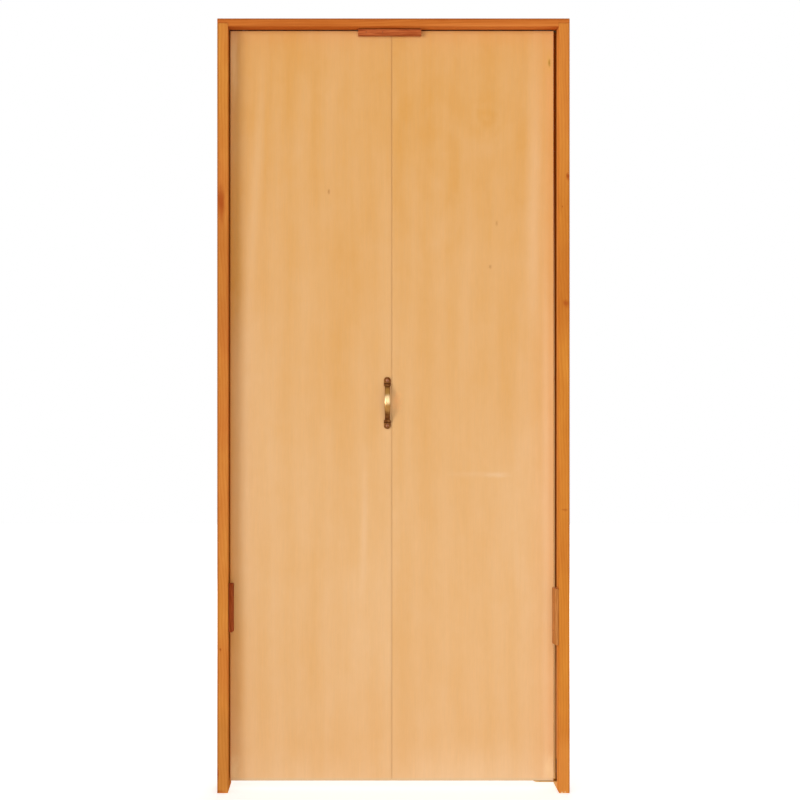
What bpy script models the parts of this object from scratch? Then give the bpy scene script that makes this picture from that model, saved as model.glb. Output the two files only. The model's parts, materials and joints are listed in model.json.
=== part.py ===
# Bifold closet door in its frame: two flush hollow-core panels, hinged together at the back.
# The right panel turns on pivots beside the right jamb. The left panel leads: its guide wheel
# runs in the head track, so the seam comes forward as the door folds.
# Metres, +Z up, +X right and -Y towards the room. The origin is on the floor, mid-opening.

import math

import bmesh
import bpy
from mathutils import Matrix, Vector

MM = 0.001

# Fits
GAP = 0.3 * MM  # between two pieces that touch
OVERRUN = 3 * MM  # how far a cutter passes the surface that it opens
WELD = 0.01 * MM  # points this close are one point

# Frame
OPENING_WIDTH = 876 * MM
FRAME_DEPTH = 116 * MM
JAMB_THICKNESS = 28.5 * MM
HEAD_THICKNESS = 21 * MM
HEAD_LIP = 12 * MM  # what is left of the head over each jamb
FRAME_EDGE = 1.2 * MM  # eased corners of the boards

# Panels
PANEL_HEIGHT = 2003 * MM
PANEL_THICKNESS = 35 * MM
FLOOR_GAP = 24 * MM
HEAD_GAP = 3 * MM
PIVOT_SIDE_GAP = 9.5 * MM
LEAD_SIDE_GAP = 3.5 * MM
SEAM_GAP = 0.5 * MM
SKIN = 3 * MM
OUTER_STILE = 25 * MM
HINGE_STILE = 30 * MM
TOP_RAIL = 92 * MM
BOTTOM_RAIL = 70 * MM
PIVOT_INSET = 38 * MM  # from a panel's outer edge to its pivot or guide

# Lattice core
CORE_STRIP = 6 * MM
CORE_PITCH = 155 * MM  # height of one cell, before it is fitted to the panel
CORE_COLUMNS = 2

# Head track
TRACK_WIDTH = 20 * MM
TRACK_DEPTH = 13 * MM
TRACK_WALL = 1.2 * MM
TRACK_SCREW_SHARES = (-0.28, 0.26)  # of the opening's width, from its middle
TRACK_SCREW_LENGTH = 7 * MM

# Spring-loaded pins: the same sleeve, pin and spring carry the top pivot and the guide
PIN_TRAVEL = 10 * MM
SLEEVE_LENGTH = 80 * MM
SLEEVE_RADIUS = 6.6 * MM
SLEEVE_WALL = 1.3 * MM
SLEEVE_FLOOR = 2 * MM
SLEEVE_LIP = 1.5 * MM
FLANGE_RADIUS = 9 * MM
NECK_RADIUS = 4 * MM
SPRING_LENGTH = 34 * MM
SPRING_WIRE = 1.2 * MM  # diameter
SPRING_TURNS = 7
PIVOT_RISE = 8.5 * MM  # of the top pivot above the head's underside
PIN_CHAMFER = 0.8 * MM

# Guide wheel
WHEEL_RADIUS = 8 * MM
WHEEL_HEIGHT = 7 * MM
WHEEL_RISE = 1.5 * MM  # above the head's underside
WHEEL_CROWN = 1 * MM
WHEEL_PLAY = 0.6 * MM  # round the wheel when it is pressed into its cup
CUP_WALL = 1.2 * MM
CUP_SPARE = 0.5 * MM
SPINDLE_RADIUS = 3 * MM
RIVET_RADIUS = 4.5 * MM
RIVET_HEIGHT = 1 * MM

# Top pivot socket
SOCKET_NOSE = 12 * MM  # from the pivot away from the jamb
SOCKET_TAIL = 32 * MM  # from the pivot towards the jamb
SOCKET_ROOF = 1.5 * MM  # over the blind bore
SOCKET_SCREW_OFFSET = 21 * MM
SOCKET_SCREW_LENGTH = 17 * MM

# Bottom pivot
BOTTOM_PIN_RADIUS = 4.75 * MM
BOTTOM_PIN_LENGTH = 50 * MM
COLLAR_RADIUS = 8 * MM
COLLAR_HEIGHT = 1.4 * MM
BRACKET_THICKNESS = 2.5 * MM
BRACKET_WIDTH = 28 * MM
BRACKET_LEG = 60 * MM
BRACKET_SCREW_SHARES = (0.42, 0.82)  # of the leg's height
BRACKET_SCREW_LENGTH = 20 * MM
PIN_TIP_DROP = 2 * MM  # of the pin's tip below the bracket

# Back hinges
HINGE_LENGTH = 76 * MM
HINGE_FROM_TOP = 178 * MM  # from the panel's edge to the hinge's middle
HINGE_FROM_BOTTOM = 280 * MM
LEAF_WIDTH = 25 * MM  # from the hinge's axis
LEAF_THICKNESS = 1.8 * MM
KNUCKLE_RADIUS = 3.7 * MM
KNUCKLES = 5
KNUCKLE_PLAY = 0.4 * MM
LEAF_PLAY = 0.6 * MM  # between a leaf's edge and the other leaf's knuckles
HINGE_PIN_RADIUS = 1.75 * MM
HINGE_HEAD_RADIUS = 3 * MM
HINGE_HEAD_HEIGHT = 1.3 * MM
HINGE_SCREW_SPACING = 50 * MM
HINGE_SCREW_OFFSET = 16 * MM  # from the hinge's axis
HINGE_SCREW_LENGTH = 15 * MM

# Countersunk screws
SCREW_HEAD_RADIUS = 3.2 * MM
SCREW_HEAD_DEPTH = 1.5 * MM
SCREW_RADIUS = 1.6 * MM
SCREW_POINT = 3 * MM

# Bow pull
HANDLE_HEIGHT = 1033 * MM  # of its middle above the floor
HANDLE_FROM_SEAM = 12.4 * MM
HANDLE_LENGTH = 139 * MM
HANDLE_PROJECTION = 28 * MM
HANDLE_SCREW_SPACING = 120.5 * MM
HANDLE_FOOT_RADIUS = 9.2 * MM
HANDLE_FOOT_THICKNESS = 3.2 * MM
HANDLE_FOOT_CORNER = 2.5 * MM
HANDLE_FOOT_END = 44.5 * MM  # from the middle, where a foot ends and the bow starts
HANDLE_SEAT_END = 53 * MM  # from the middle, where the screw's flat seat ends
HANDLE_SHOULDER = 8 * MM  # height of the shoulder between the seat and the bow
HANDLE_NECK_WIDTH = 13 * MM
HANDLE_BOW_WIDTH = 16.5 * MM
HANDLE_BOW_THICKNESS = 5 * MM
HANDLE_BOW_START = 46 * MM  # from the middle, where the outside starts to rise
HANDLE_BOW_HEEL = 44 * MM  # from the middle, where the inside starts to rise
HANDLE_HEAD_RADIUS = 4.4 * MM
HANDLE_HEAD_HEIGHT = 2.4 * MM
HANDLE_SCREW_RADIUS = 2 * MM
HANDLE_SCREW_LENGTH = 20 * MM

# Stop blocks
STOP_PLAY = 1 * MM  # to the panel's face
STOP_THICKNESS = 13.5 * MM  # at the panel's face
STOP_NOSE = 9 * MM  # its thickness at its front
STOP_EDGE = 0.8 * MM
RIGHT_STOP_BOTTOM = 391 * MM
RIGHT_STOP_LENGTH = 150 * MM
RIGHT_STOP_DEPTH = 37.5 * MM
LEFT_STOP_BOTTOM = 424 * MM
LEFT_STOP_LENGTH = 129 * MM
LEFT_STOP_DEPTH = 25 * MM
TOP_BLOCK_LENGTH = 168.6 * MM
TOP_BLOCK_HEIGHT = 16.7 * MM
TOP_BLOCK_DEPTH = 16 * MM
TOP_BLOCK_RISE = 1.5 * MM  # above the panel's top edge
TOP_BLOCK_OFFSET = 6.4 * MM  # of its middle from the seam, to the left

# Facets
SMALL_STEPS = 12
ROUND_STEPS = 20
ARC_STEPS = 10
WIRE_STEPS = 8  # points in one curl of a spring
SHARP = math.radians(30)  # faces that meet at less than this are shaded as one surface

# Places that follow from the sizes
HALF_OPENING = OPENING_WIDTH / 2
HALF_THICKNESS = PANEL_THICKNESS / 2
PANEL_WIDTH = (OPENING_WIDTH - PIVOT_SIDE_GAP - LEAD_SIDE_GAP - SEAM_GAP) / 2
PANEL_TOP = FLOOR_GAP + PANEL_HEIGHT
HEAD_UNDERSIDE = PANEL_TOP + HEAD_GAP
HEAD_TOP = HEAD_UNDERSIDE + HEAD_THICKNESS
SEAM_X = HALF_OPENING - PIVOT_SIDE_GAP - PANEL_WIDTH - SEAM_GAP / 2
PIVOT_X = HALF_OPENING - PIVOT_SIDE_GAP - PIVOT_INSET
GUIDE_X = 2 * SEAM_X - PIVOT_X
FOLD_Y = HALF_THICKNESS + GAP + KNUCKLE_RADIUS
TRACK_ROOF = HEAD_UNDERSIDE + TRACK_DEPTH
WHEEL_BOTTOM = HEAD_UNDERSIDE + WHEEL_RISE
COLLAR_BOTTOM = FLOOR_GAP - GAP - COLLAR_HEIGHT
TONGUE_TOP = COLLAR_BOTTOM - GAP

FINISHES = {  # sRGB colour, roughness, metallic
    "stained_pine": ((207, 122, 50), 0.45, 0.0),
    "birch_veneer": ((231, 174, 114), 0.5, 0.0),
    "red_stained_block": ((181, 88, 48), 0.55, 0.0),
    "softwood": ((222, 190, 140), 0.7, 0.0),
    "antique_brass": ((150, 110, 60), 0.35, 1.0),
    "zinc_plated_steel": ((176, 178, 180), 0.4, 1.0),
    "aluminium": ((190, 190, 188), 0.35, 1.0),
    "nylon": ((236, 234, 226), 0.45, 0.0),
}

# Which way a screw's head looks, as a turn from +Z
LOOKS_BACK = (-math.pi / 2, 0, 0)
LOOKS_FRONT = (math.pi / 2, 0, 0)
LOOKS_LEFT = (0, -math.pi / 2, 0)
LOOKS_DOWN = (math.pi, 0, 0)

# Planes that an outline is drawn in: the columns are where its x, its y and its thickness go
SIDE_PLANE = Matrix(((0, 0, 1), (0, -1, 0), (1, 0, 0))).to_4x4()
FRONT_PLANE = Matrix(((1, 0, 0), (0, 0, -1), (0, 1, 0))).to_4x4()
CROSS_PLANE = Matrix(((0, 0, 1), (1, 0, 0), (0, 1, 0))).to_4x4()
FLAT_PLANE = Matrix.Identity(4)


def start_scene():
    for old in list(bpy.data.objects):
        bpy.data.objects.remove(old)
    for name in ("bifold_door", "cutters"):
        group = bpy.data.collections.new(name)
        bpy.context.scene.collection.children.link(group)
    for name, (colour, roughness, metallic) in FINISHES.items():
        finish = bpy.data.materials.new(name)
        finish.use_nodes = True
        shader = finish.node_tree.nodes["Principled BSDF"]
        shader.inputs["Base Color"].default_value = (*map(linear, colour), 1)
        shader.inputs["Roughness"].default_value = roughness
        shader.inputs["Metallic"].default_value = metallic


def linear(channel):
    share = channel / 255
    return share / 12.92 if share <= 0.04045 else ((share + 0.055) / 1.055) ** 2.4


def axis_empty(name, place, parent=None):
    """An empty on a joint's axis. What hangs on it turns or slides with it."""
    axis = bpy.data.objects.new(name, None)
    bpy.data.collections["bifold_door"].objects.link(axis)
    axis.location = place
    if parent:
        attach(axis, parent)
    bpy.context.view_layer.update()
    return axis


def attach(piece, axis):
    piece.parent = axis
    piece.matrix_parent_inverse = axis.matrix_world.inverted()


def add_piece(name, mesh, finish, axis, place=(0, 0, 0), turn=(0, 0, 0)):
    piece = bpy.data.objects.new(name, mesh)
    piece.location = place
    piece.rotation_euler = turn
    mesh.materials.append(bpy.data.materials[finish])
    bpy.data.collections["bifold_door"].objects.link(piece)
    attach(piece, axis)
    return piece


def add_cutter(name, mesh, place=(0, 0, 0), turn=(0, 0, 0)):
    cutter = bpy.data.objects.new(name, mesh)
    cutter.location = place
    cutter.rotation_euler = turn
    cutter.hide_render = True
    cutter.display_type = "WIRE"
    bpy.data.collections["cutters"].objects.link(cutter)
    return cutter


def combine(piece, other, operation="DIFFERENCE", solver="EXACT"):
    step = piece.modifiers.new(other.name, "BOOLEAN")
    step.operation = operation
    step.solver = solver
    step.object = other


def box_mesh(name, size):
    shape = bmesh.new()
    bmesh.ops.create_cube(shape, size=1)
    bmesh.ops.scale(shape, vec=size, verts=shape.verts)
    mesh = bpy.data.meshes.new(name)
    shape.to_mesh(mesh)
    shape.free()
    return mesh


def box_between(corner, opposite):
    low = Vector(map(min, corner, opposite))
    high = Vector(map(max, corner, opposite))
    return high - low, (low + high) / 2


def board(name, corner, opposite, finish, axis, edge=0):
    size, middle = box_between(corner, opposite)
    piece = add_piece(name, box_mesh(name, size), finish, axis, middle)
    if edge:
        ease_edges(piece, edge)
    return piece


def ease_edges(piece, edge):
    ease = piece.modifiers.new("eased edges", "BEVEL")
    ease.width = edge
    ease.segments = 2


def box_cutter(name, corner, opposite):
    size, middle = box_between(corner, opposite)
    return add_cutter(name, box_mesh(name, size), middle)


def profile_mesh(name, profile, ring):
    """A profile in the XZ plane, as (radius, height). A ring's last point joins its first."""
    count = len(profile)
    edges = [(i, (i + 1) % count) for i in range(count if ring else count - 1)]
    mesh = bpy.data.meshes.new(name)
    mesh.from_pydata([(radius, 0, height) for radius, height in profile], edges, [])
    return mesh


def spin(piece, steps):
    turn = piece.modifiers.new("turned", "SCREW")
    turn.steps = steps
    turn.render_steps = steps
    turn.use_merge_vertices = True
    turn.merge_threshold = WELD
    turn.use_smooth_shade = True
    return piece


def turned(name, profile, finish, axis, place, turn=(0, 0, 0), steps=ROUND_STEPS, ring=False):
    mesh = profile_mesh(name, profile, ring)
    return spin(add_piece(name, mesh, finish, axis, place, turn), steps)


def turned_cutter(name, profile, place, turn=(0, 0, 0), steps=ROUND_STEPS):
    return spin(add_cutter(name, profile_mesh(name, profile, False), place, turn), steps)


def arc(centre, radius, start, end, steps):
    """Points on an arc round centre, both ends included. Angles in radians."""
    angles = [start + (end - start) * i / steps for i in range(steps + 1)]
    return [(centre[0] + radius * math.cos(a), centre[1] + radius * math.sin(a)) for a in angles]


def solid_from(guide):
    """The evaluated curve as a mesh with its caps welded on. The curve is removed."""
    bpy.context.scene.collection.objects.link(guide)
    graph = bpy.context.evaluated_depsgraph_get()
    mesh = bpy.data.meshes.new_from_object(guide.evaluated_get(graph))
    curve = guide.data
    bpy.data.objects.remove(guide)
    bpy.data.curves.remove(curve)
    shape = bmesh.new()
    shape.from_mesh(mesh)
    bmesh.ops.remove_doubles(shape, verts=shape.verts, dist=WELD)
    bmesh.ops.recalc_face_normals(shape, faces=shape.faces)
    shape.to_mesh(mesh)
    shape.free()
    mesh.shade_smooth()
    mesh.set_sharp_from_angle(angle=SHARP)
    mesh.materials.clear()
    return mesh


def outline_mesh(name, loops, thickness, plane):
    """A flat outline, whose later loops are holes in the first, made this thick."""
    curve = bpy.data.curves.new(name, "CURVE")
    curve.dimensions = "2D"
    curve.fill_mode = "BOTH"
    curve.extrude = thickness / 2
    for loop in loops:
        spline = curve.splines.new("POLY")
        spline.points.add(len(loop) - 1)
        for point, (x, y) in zip(spline.points, loop):
            point.co = (x, y, 0, 1)
        spline.use_cyclic_u = True
    mesh = solid_from(bpy.data.objects.new(name, curve))
    mesh.transform(plane)
    return mesh


def screw_profile(length, grow=0):
    """A countersunk screw whose head is flush with height zero, or the hole that it needs."""
    top = OVERRUN if grow else 0
    return [
        (0, top),
        (SCREW_HEAD_RADIUS + grow, top),
        (SCREW_HEAD_RADIUS + grow, -grow),
        (SCREW_RADIUS + grow, -SCREW_HEAD_DEPTH - grow),
        (SCREW_RADIUS + grow, -length + SCREW_POINT - grow),
        (0, -length - grow),
    ]


def flush_screw(name, place, looks, length, axis, through):
    """A countersunk screw, and its hole in each piece that it goes through."""
    # Several small holes in one large face leave the exact solver's result open.
    turned(name, screw_profile(length), "zinc_plated_steel", axis, place, looks, SMALL_STEPS)
    hole = turned_cutter(name + "_hole", screw_profile(length, GAP), place, looks, SMALL_STEPS)
    for piece in through:
        combine(piece, hole, solver="MANIFOLD")


def build_frame(frame):
    """The jambs and the head, whose thinned ends lie over them. Returns the right jamb and the head."""
    lip_underside = HEAD_TOP - HEAD_LIP
    for side, name in ((-1, "left_jamb"), (1, "right_jamb")):
        inner = (side * HALF_OPENING, -FRAME_DEPTH / 2, 0)
        outer = (side * (HALF_OPENING + JAMB_THICKNESS), FRAME_DEPTH / 2, lip_underside - GAP)
        jamb = board(name, inner, outer, "stained_pine", frame, FRAME_EDGE)
    half_length = HALF_OPENING + JAMB_THICKNESS
    low = (-half_length, -FRAME_DEPTH / 2, HEAD_UNDERSIDE)
    high = (half_length, FRAME_DEPTH / 2, HEAD_TOP)
    head = board("head", low, high, "stained_pine", frame, FRAME_EDGE)
    for side in (-1, 1):
        front = -FRAME_DEPTH / 2 - OVERRUN
        shoulder = (side * (HALF_OPENING - GAP), front, HEAD_UNDERSIDE - OVERRUN)
        end = (side * (half_length + OVERRUN), -front, lip_underside)
        combine(head, box_cutter(f"head_rabbet_{side}", shoulder, end))
    return jamb, head


def build_track(frame, head):
    """The channel in the head, open downwards, and its two screws."""
    half, inside = TRACK_WIDTH / 2, TRACK_WIDTH / 2 - TRACK_WALL
    ceiling = TRACK_DEPTH - TRACK_WALL
    outline = [
        (-half, 0),
        (-inside, 0),
        (-inside, ceiling),
        (inside, ceiling),
        (inside, 0),
        (half, 0),
        (half, TRACK_DEPTH),
        (-half, TRACK_DEPTH),
    ]
    length = OPENING_WIDTH - 2 * GAP
    mesh = outline_mesh("head_track", [outline], length, CROSS_PLANE)
    track = add_piece("head_track", mesh, "aluminium", frame, (0, 0, HEAD_UNDERSIDE))
    reach = HALF_OPENING + OVERRUN
    groove_low = (-reach, -half - GAP, HEAD_UNDERSIDE - OVERRUN)
    groove_high = (reach, half + GAP, TRACK_ROOF + GAP)
    combine(head, box_cutter("track_groove", groove_low, groove_high))
    for name, share in zip(("track_screw_left", "track_screw_right"), TRACK_SCREW_SHARES):
        place = (share * OPENING_WIDTH, 0, TRACK_ROOF - TRACK_WALL)
        flush_screw(name, place, LOOKS_DOWN, TRACK_SCREW_LENGTH, frame, (track, head))
    return track


def build_socket(frame, head, track):
    """The block in the track that holds the top pivot."""
    half_width = TRACK_WIDTH / 2 - TRACK_WALL - GAP
    top = TRACK_ROOF - TRACK_WALL - GAP
    low = (PIVOT_X - SOCKET_NOSE, -half_width, HEAD_UNDERSIDE + GAP)
    high = (PIVOT_X + SOCKET_TAIL, half_width, top)
    socket = board("top_pivot_socket", low, high, "zinc_plated_steel", frame)
    bore_radius = NECK_RADIUS + GAP
    bore = [(0, top - SOCKET_ROOF), (bore_radius, top - SOCKET_ROOF)]
    bore += [(bore_radius, HEAD_UNDERSIDE - OVERRUN), (0, HEAD_UNDERSIDE - OVERRUN)]
    combine(socket, turned_cutter("socket_bore", bore, (PIVOT_X, 0, 0)))
    place = (PIVOT_X + SOCKET_SCREW_OFFSET, 0, HEAD_UNDERSIDE + GAP)
    through = (socket, track, head)
    flush_screw("socket_screw", place, LOOKS_DOWN, SOCKET_SCREW_LENGTH, frame, through)


def build_bracket(frame, right_jamb):
    """The bottom pivot's bracket: a leg let into the jamb, and a tongue under the panel."""
    half_width = BRACKET_WIDTH / 2
    tongue_bottom = TONGUE_TOP - BRACKET_THICKNESS
    back = HALF_OPENING + BRACKET_THICKNESS
    leg_top = tongue_bottom + BRACKET_LEG
    nose = arc((PIVOT_X, 0), half_width, math.pi / 2, 3 * math.pi / 2, ARC_STEPS)
    outline = nose + [(back, -half_width), (back, half_width)]
    hole = arc((PIVOT_X, 0), NECK_RADIUS + GAP, 0, 2 * math.pi, ROUND_STEPS)[:-1]
    mesh = outline_mesh("floor_bracket", [outline, hole], BRACKET_THICKNESS, FLAT_PLANE)
    place = (0, 0, TONGUE_TOP - BRACKET_THICKNESS / 2)
    bracket = add_piece("floor_bracket", mesh, "zinc_plated_steel", frame, place)
    leg_low = (HALF_OPENING, -half_width, tongue_bottom)
    leg = box_cutter("bracket_leg", leg_low, (back, half_width, leg_top))
    combine(bracket, leg, "UNION")
    low = (HALF_OPENING - OVERRUN, -half_width - GAP, tongue_bottom - GAP)
    mortise = box_cutter("bracket_mortise", low, (back + GAP, half_width + GAP, leg_top + GAP))
    combine(right_jamb, mortise)
    for name, share in zip(("bracket_screw_lower", "bracket_screw_upper"), BRACKET_SCREW_SHARES):
        place = (HALF_OPENING, 0, tongue_bottom + share * BRACKET_LEG)
        flush_screw(name, place, LOOKS_LEFT, BRACKET_SCREW_LENGTH, frame, (bracket, right_jamb))


def build_panel(name, side, axis):
    """One slab. side is 1 where its outer edge is on the right, and -1 on the left."""
    inner_edge = SEAM_X + side * SEAM_GAP / 2
    outer_edge = inner_edge + side * PANEL_WIDTH
    half_fill = HALF_THICKNESS - SKIN - GAP
    pieces = {}

    def slab(part, x_range, y_range, z_range, finish):
        corner, opposite = zip(x_range, y_range, z_range)
        pieces[part] = board(f"{name}_{part}", corner, opposite, finish, axis)

    width, height = (inner_edge, outer_edge), (FLOOR_GAP, PANEL_TOP)
    slab("front_skin", width, (-HALF_THICKNESS, SKIN - HALF_THICKNESS), height, "birch_veneer")
    slab("back_skin", width, (HALF_THICKNESS, HALF_THICKNESS - SKIN), height, "birch_veneer")
    fill = (-half_fill, half_fill)
    hinge_stile_end = inner_edge + side * HINGE_STILE
    outer_stile_end = outer_edge - side * OUTER_STILE
    slab("hinge_stile", (inner_edge, hinge_stile_end), fill, height, "birch_veneer")
    slab("outer_stile", (outer_stile_end, outer_edge), fill, height, "birch_veneer")
    between = (hinge_stile_end + side * GAP, outer_stile_end - side * GAP)
    top_rail_bottom = PANEL_TOP - TOP_RAIL
    bottom_rail_top = FLOOR_GAP + BOTTOM_RAIL
    slab("top_rail", between, fill, (top_rail_bottom, PANEL_TOP), "birch_veneer")
    slab("bottom_rail", between, fill, (FLOOR_GAP, bottom_rail_top), "birch_veneer")
    core_height = (bottom_rail_top + GAP, top_rail_bottom - GAP)
    slab("core", between, fill, core_height, "softwood")
    cut_cells(pieces["core"], name, between, core_height)
    return pieces


def cut_cells(core, name, x_range, z_range):
    """Opens the core into a lattice of equal cells."""
    left, right = sorted(x_range)
    rows = max(1, round((z_range[1] - z_range[0]) / CORE_PITCH))
    cell_width = (right - left - (CORE_COLUMNS + 1) * CORE_STRIP) / CORE_COLUMNS
    cell_height = (z_range[1] - z_range[0] - (rows + 1) * CORE_STRIP) / rows
    low = (left + CORE_STRIP, -HALF_THICKNESS, z_range[0] + CORE_STRIP)
    high = (left + CORE_STRIP + cell_width, HALF_THICKNESS, z_range[0] + CORE_STRIP + cell_height)
    cells = box_cutter(name + "_core_cells", low, high)
    across, up = (cell_width + CORE_STRIP, 0, 0), (0, 0, cell_height + CORE_STRIP)
    for count, step in ((CORE_COLUMNS, across), (rows, up)):
        repeat = cells.modifiers.new("cells", "ARRAY")
        repeat.count = count
        repeat.use_relative_offset = False
        repeat.use_constant_offset = True
        repeat.constant_offset_displace = step
    combine(core, cells)


def sleeve_profile(head_radius, cup_radius, cup_depth):
    """A sleeve closed below and lipped above. Heights count down from the panel's top edge."""
    bore = SLEEVE_RADIUS - SLEEVE_WALL
    lip_bottom = -cup_depth - SLEEVE_LIP
    profile = [
        (0, -SLEEVE_LENGTH + SLEEVE_FLOOR),
        (bore, -SLEEVE_LENGTH + SLEEVE_FLOOR),
        (bore, lip_bottom),
        (NECK_RADIUS + GAP, lip_bottom),
        (NECK_RADIUS + GAP, -cup_depth),
    ]
    if cup_depth:
        profile += [(cup_radius, -cup_depth), (cup_radius, 0)]
    profile += [
        (head_radius, 0),
        (head_radius, lip_bottom),
        (SLEEVE_RADIUS, lip_bottom),
        (SLEEVE_RADIUS, -SLEEVE_LENGTH),
        (0, -SLEEVE_LENGTH),
    ]
    return profile


def pocket_profile(head_radius, cup_depth):
    """The hole in the rail that such a sleeve needs."""
    lip_bottom = -cup_depth - SLEEVE_LIP
    return [
        (0, OVERRUN),
        (head_radius + GAP, OVERRUN),
        (head_radius + GAP, lip_bottom - GAP),
        (SLEEVE_RADIUS + GAP, lip_bottom - GAP),
        (SLEEVE_RADIUS + GAP, -SLEEVE_LENGTH - GAP),
        (0, -SLEEVE_LENGTH - GAP),
    ]


def build_spring(name, x, axis):
    """A compression spring on the sleeve's floor, as one wire."""
    low = PANEL_TOP - SLEEVE_LENGTH + SLEEVE_FLOOR + GAP + SPRING_WIRE / 2
    high = low + SPRING_LENGTH - SPRING_WIRE
    radius = SLEEVE_RADIUS - SLEEVE_WALL - GAP - SPRING_WIRE / 2
    curve = bpy.data.curves.new(name, "CURVE")
    curve.dimensions = "3D"
    curve.bevel_depth = SPRING_WIRE / 2
    curve.bevel_resolution = 1
    curve.use_fill_caps = True
    count = SPRING_TURNS * WIRE_STEPS + 1
    wire = curve.splines.new("POLY")
    wire.points.add(count - 1)
    for i, point in enumerate(wire.points):
        angle = 2 * math.pi * i / WIRE_STEPS
        height = low + (high - low) * i / (count - 1)
        point.co = (radius * math.cos(angle), radius * math.sin(angle), height, 1)
    mesh = solid_from(bpy.data.objects.new(name, curve))
    add_piece(name, mesh, "zinc_plated_steel", axis, (x, 0, 0))
    print(f"{name}: {(high - low) / SPRING_TURNS - SPRING_WIRE:.5f} m between curls")


def shank_ends(cup_depth):
    """The lowest and highest point of the thick part of a spring-loaded pin."""
    foot = PANEL_TOP - SLEEVE_LENGTH + SLEEVE_FLOOR + GAP + SPRING_LENGTH + GAP
    return foot, PANEL_TOP - cup_depth - SLEEVE_LIP - GAP


def build_top_pivot(panel_axis, pin_axis, panel):
    """The pin that a spring holds up in the track's socket."""
    place = (PIVOT_X, 0, PANEL_TOP)
    profile = sleeve_profile(FLANGE_RADIUS, 0, 0)
    turned("top_pivot_sleeve", profile, "zinc_plated_steel", panel_axis, place)
    pocket = turned_cutter("top_pivot_pocket", pocket_profile(FLANGE_RADIUS, 0), place)
    for part in ("top_rail", "outer_stile"):
        combine(panel[part], pocket)
    build_spring("top_pivot_spring", PIVOT_X, panel_axis)
    shank_radius = SLEEVE_RADIUS - SLEEVE_WALL - GAP
    foot, shoulder = shank_ends(0)
    tip = HEAD_UNDERSIDE + PIVOT_RISE
    pin = [
        (0, tip),
        (NECK_RADIUS - PIN_CHAMFER, tip),
        (NECK_RADIUS, tip - PIN_CHAMFER),
        (NECK_RADIUS, shoulder),
        (shank_radius, shoulder),
        (shank_radius, foot),
        (0, foot),
    ]
    turned("top_pivot_pin", pin, "zinc_plated_steel", pin_axis, (PIVOT_X, 0, 0))


def build_guide(panel_axis, pin_axis, wheel_axis, panel):
    """The pin that a spring holds up in the track, its wheel, and the cup that the wheel drops into."""
    place = (GUIDE_X, 0, PANEL_TOP)
    cup_radius = WHEEL_RADIUS + WHEEL_PLAY
    cup_depth = PIN_TRAVEL - HEAD_GAP - WHEEL_RISE + GAP + CUP_SPARE
    head_radius = cup_radius + CUP_WALL
    profile = sleeve_profile(head_radius, cup_radius, cup_depth)
    turned("guide_sleeve", profile, "zinc_plated_steel", panel_axis, place)
    pocket = turned_cutter("guide_pocket", pocket_profile(head_radius, cup_depth), place)
    for part in ("top_rail", "outer_stile"):
        combine(panel[part], pocket)
    build_spring("guide_spring", GUIDE_X, panel_axis)
    shank_radius = SLEEVE_RADIUS - SLEEVE_WALL - GAP
    foot, shoulder = shank_ends(cup_depth)
    wheel_top = WHEEL_BOTTOM + WHEEL_HEIGHT
    rivet_bottom = wheel_top + GAP
    pin = [
        (0, rivet_bottom + RIVET_HEIGHT),
        (RIVET_RADIUS, rivet_bottom + RIVET_HEIGHT),
        (RIVET_RADIUS, rivet_bottom),
        (SPINDLE_RADIUS, rivet_bottom),
        (SPINDLE_RADIUS, WHEEL_BOTTOM - GAP),
        (NECK_RADIUS, WHEEL_BOTTOM - GAP),
        (NECK_RADIUS, shoulder),
        (shank_radius, shoulder),
        (shank_radius, foot),
        (0, foot),
    ]
    turned("guide_pin", pin, "zinc_plated_steel", pin_axis, (GUIDE_X, 0, 0))
    bore = SPINDLE_RADIUS + GAP
    wheel = [
        (bore, wheel_top),
        (WHEEL_RADIUS - WHEEL_CROWN, wheel_top),
        (WHEEL_RADIUS, wheel_top - WHEEL_CROWN),
        (WHEEL_RADIUS, WHEEL_BOTTOM + WHEEL_CROWN),
        (WHEEL_RADIUS - WHEEL_CROWN, WHEEL_BOTTOM),
        (bore, WHEEL_BOTTOM),
    ]
    turned("guide_wheel", wheel, "nylon", wheel_axis, (GUIDE_X, 0, 0), ring=True)


def build_bottom_pivot(panel_axis, panel):
    """The steel pin in the bottom rail, with the collar that the panel stands on."""
    top = FLOOR_GAP + BOTTOM_PIN_LENGTH
    tip = TONGUE_TOP - BRACKET_THICKNESS - PIN_TIP_DROP
    pin = [
        (0, top),
        (BOTTOM_PIN_RADIUS, top),
        (BOTTOM_PIN_RADIUS, FLOOR_GAP - GAP),
        (COLLAR_RADIUS, FLOOR_GAP - GAP),
        (COLLAR_RADIUS, COLLAR_BOTTOM),
        (NECK_RADIUS, COLLAR_BOTTOM),
        (NECK_RADIUS, tip + PIN_CHAMFER),
        (NECK_RADIUS - PIN_CHAMFER, tip),
        (0, tip),
    ]
    turned("bottom_pivot_pin", pin, "zinc_plated_steel", panel_axis, (PIVOT_X, 0, 0))
    hole_radius = BOTTOM_PIN_RADIUS + GAP
    hole = [(0, top + GAP), (hole_radius, top + GAP)]
    hole += [(hole_radius, FLOOR_GAP - OVERRUN), (0, FLOOR_GAP - OVERRUN)]
    cutter = turned_cutter("bottom_pivot_hole", hole, (PIVOT_X, 0, 0))
    for part in ("bottom_rail", "outer_stile"):
        combine(panel[part], cutter)


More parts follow.
